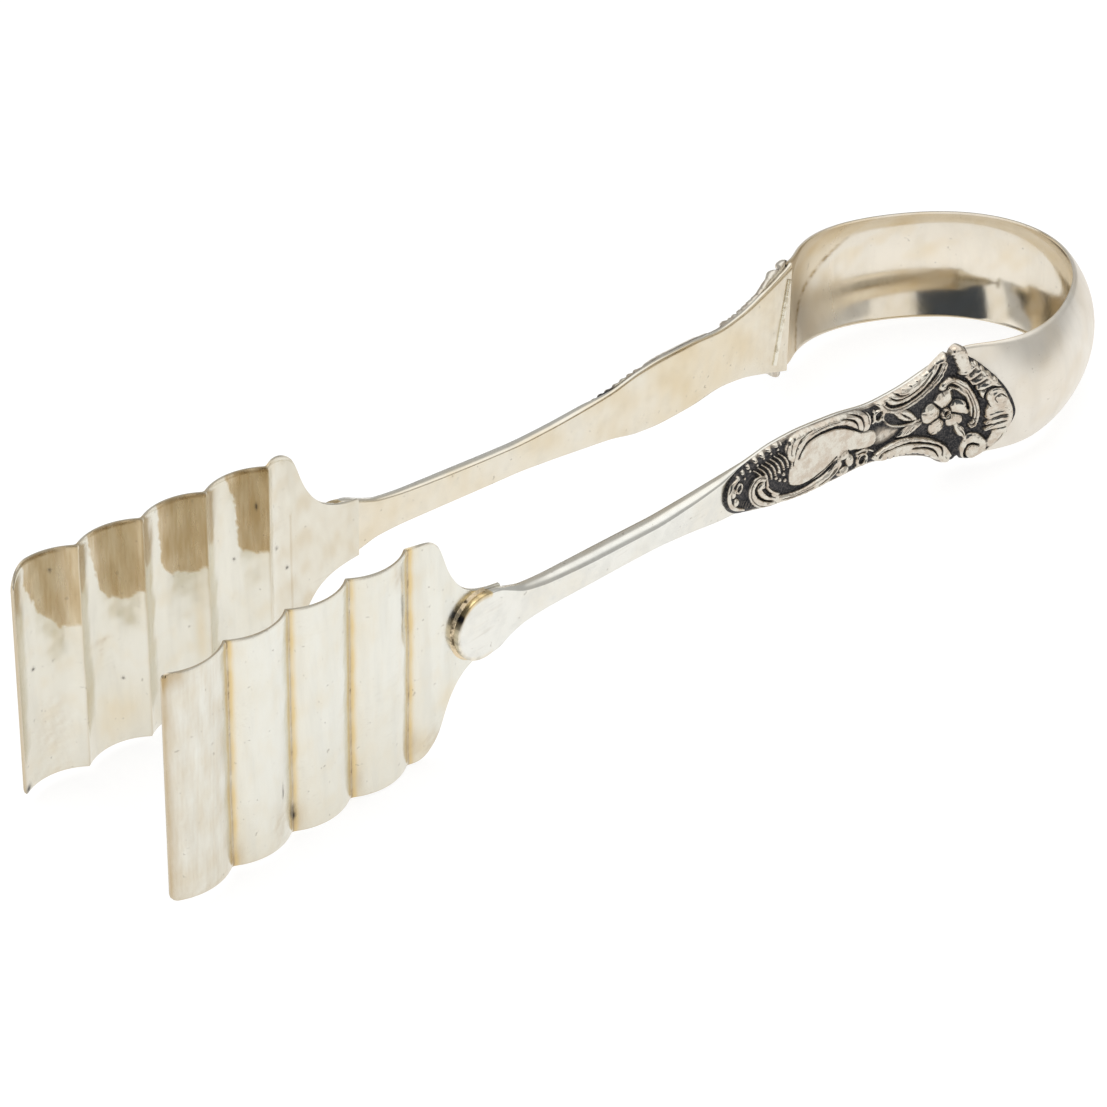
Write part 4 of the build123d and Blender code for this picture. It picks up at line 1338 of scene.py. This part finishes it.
def make_floor():
    """Pale paper that glows a little, so that it stays even."""
    bpy.ops.mesh.primitive_grid_add(
        x_subdivisions=FLOOR_CELLS, y_subdivisions=FLOOR_CELLS, size=FLOOR_SIZE, location=(0, 0, 0))
    floor = bpy.context.object
    floor.name = "floor"
    material, tree, shader = new_material("paper")
    colour = mix_colour(tree, noise(tree, 3.0, 2.0), PAPER, PAPER_LIGHT)
    tree.links.new(colour, shader.inputs["Base Color"])
    shader.inputs["Emission Color"].default_value = (1.0, 1.0, 1.0, 1.0)
    shader.inputs["Emission Strength"].default_value = PAPER_GLOW
    shader.inputs["Roughness"].default_value = 0.85
    shader.inputs["Specular IOR Level"].default_value = 0.2
    floor.data.materials.append(material)


def make_key_light():
    """A soft lamp overhead that faces the frame's origin."""
    data = bpy.data.lights.new("key", "AREA")
    data.shape = "RECTANGLE"
    data.size, data.size_y = KEY_SIZE, KEY_SIZE
    data.energy = KEY_POWER
    data.color = KEY_COLOUR
    lamp = bpy.data.objects.new("key", data)
    bpy.context.scene.collection.objects.link(lamp)
    at = np.array(KEY_PLACE)
    back = at / np.linalg.norm(at)
    right = np.cross((0, 0, 1), back)
    right /= np.linalg.norm(right)
    lamp.matrix_world = matrix_at(np.column_stack([right, np.cross(back, right), back]), at)


def between(tree, value, limits, soft):
    """One where a socket's value lies between two limits, nought outside."""
    low, high = limits
    above = ramp(tree, value, low - soft, low + soft)
    below = ramp(tree, value, high - soft, high + soft, 1.0, 0.0)
    return calculate(tree, "MULTIPLY", above, below)


def make_world():
    """Grey walls, a bright ceiling and, round the main view, a white tent with a dark hole in it."""
    world = bpy.data.worlds.new("studio")
    bpy.context.scene.world = world
    world.use_nodes = True
    tree = world.node_tree
    background = tree.nodes["Background"]
    place = node(tree, "ShaderNodeTexCoord")
    split = node(tree, "ShaderNodeSeparateXYZ")
    tree.links.new(place.outputs["Generated"], split.inputs["Vector"])
    climb = ramp(tree, split.outputs["Z"], 0.58, 0.72)
    colour = mix_colour(tree, climb, WALL, CEILING)
    sideways = (math.cos(VIEW_TURN), math.sin(VIEW_TURN), 0.0)
    toward = (
        math.sin(VIEW_TURN) * math.cos(VIEW_LIFT), -math.cos(VIEW_TURN) * math.cos(VIEW_LIFT),
        math.sin(VIEW_LIFT),
    )
    shares = []
    for direction in (toward, sideways, tuple(np.cross(toward, sideways))):
        dot = node(tree, "ShaderNodeVectorMath", operation="DOT_PRODUCT")
        tree.links.new(place.outputs["Generated"], dot.inputs[0])
        dot.inputs[1].default_value = direction
        shares.append(dot.outputs["Value"])
    across, above = (
        calculate(tree, "DIVIDE", share, calculate(tree, "MAXIMUM", shares[0], 0.05)) for share in shares[1:]
    )
    front = ramp(tree, shares[0], 0.10, 0.20)
    windows = []
    for wide, high, soft in ((TENT_ACROSS, TENT_ABOVE, TENT_SOFT), (HOLE_ACROSS, HOLE_ABOVE, HOLE_SOFT)):
        columns = between(tree, across, wide, soft[0])
        rows = between(tree, above, high, soft[1])
        windows.append(calculate(tree, "MULTIPLY", columns, rows))
    for window, shade in zip(windows, (TENT, HOLE)):
        colour = mix_colour(tree, calculate(tree, "MULTIPLY", window, front), colour, shade)
    tree.links.new(colour, background.inputs["Color"])
    background.inputs["Strength"].default_value = 1.0


def make_camera():
    """The main view, turned, lifted and rolled about a point between the arms."""
    turn, lift, roll = VIEW_TURN, VIEW_LIFT, VIEW_ROLL
    ahead = np.array([-math.sin(turn) * math.cos(lift), math.cos(turn) * math.cos(lift), -math.sin(lift)])
    right = np.array([math.cos(turn), math.sin(turn), 0.0])
    up = np.cross(right, ahead)
    right, up = right * math.cos(roll) + up * math.sin(roll), up * math.cos(roll) - right * math.sin(roll)
    axes = np.stack([ALONG, ACROSS, UP], axis=1)
    data = bpy.data.cameras.new("camera")
    data.sensor_width = SENSOR
    data.lens = LENS
    data.shift_x, data.shift_y = SHIFT
    data.clip_start, data.clip_end = 0.01, 20.0
    camera = bpy.data.objects.new("camera", data)
    bpy.context.scene.collection.objects.link(camera)
    rotation = axes @ np.stack([right, up, -ahead], axis=1)
    camera.matrix_world = matrix_at(rotation, to_row(VIEW_TARGET - VIEW_DISTANCE * ahead))
    bpy.context.scene.camera = camera


make_floor()
make_world()
make_key_light()
make_camera()
bpy.context.scene.view_settings.view_transform = "Standard"
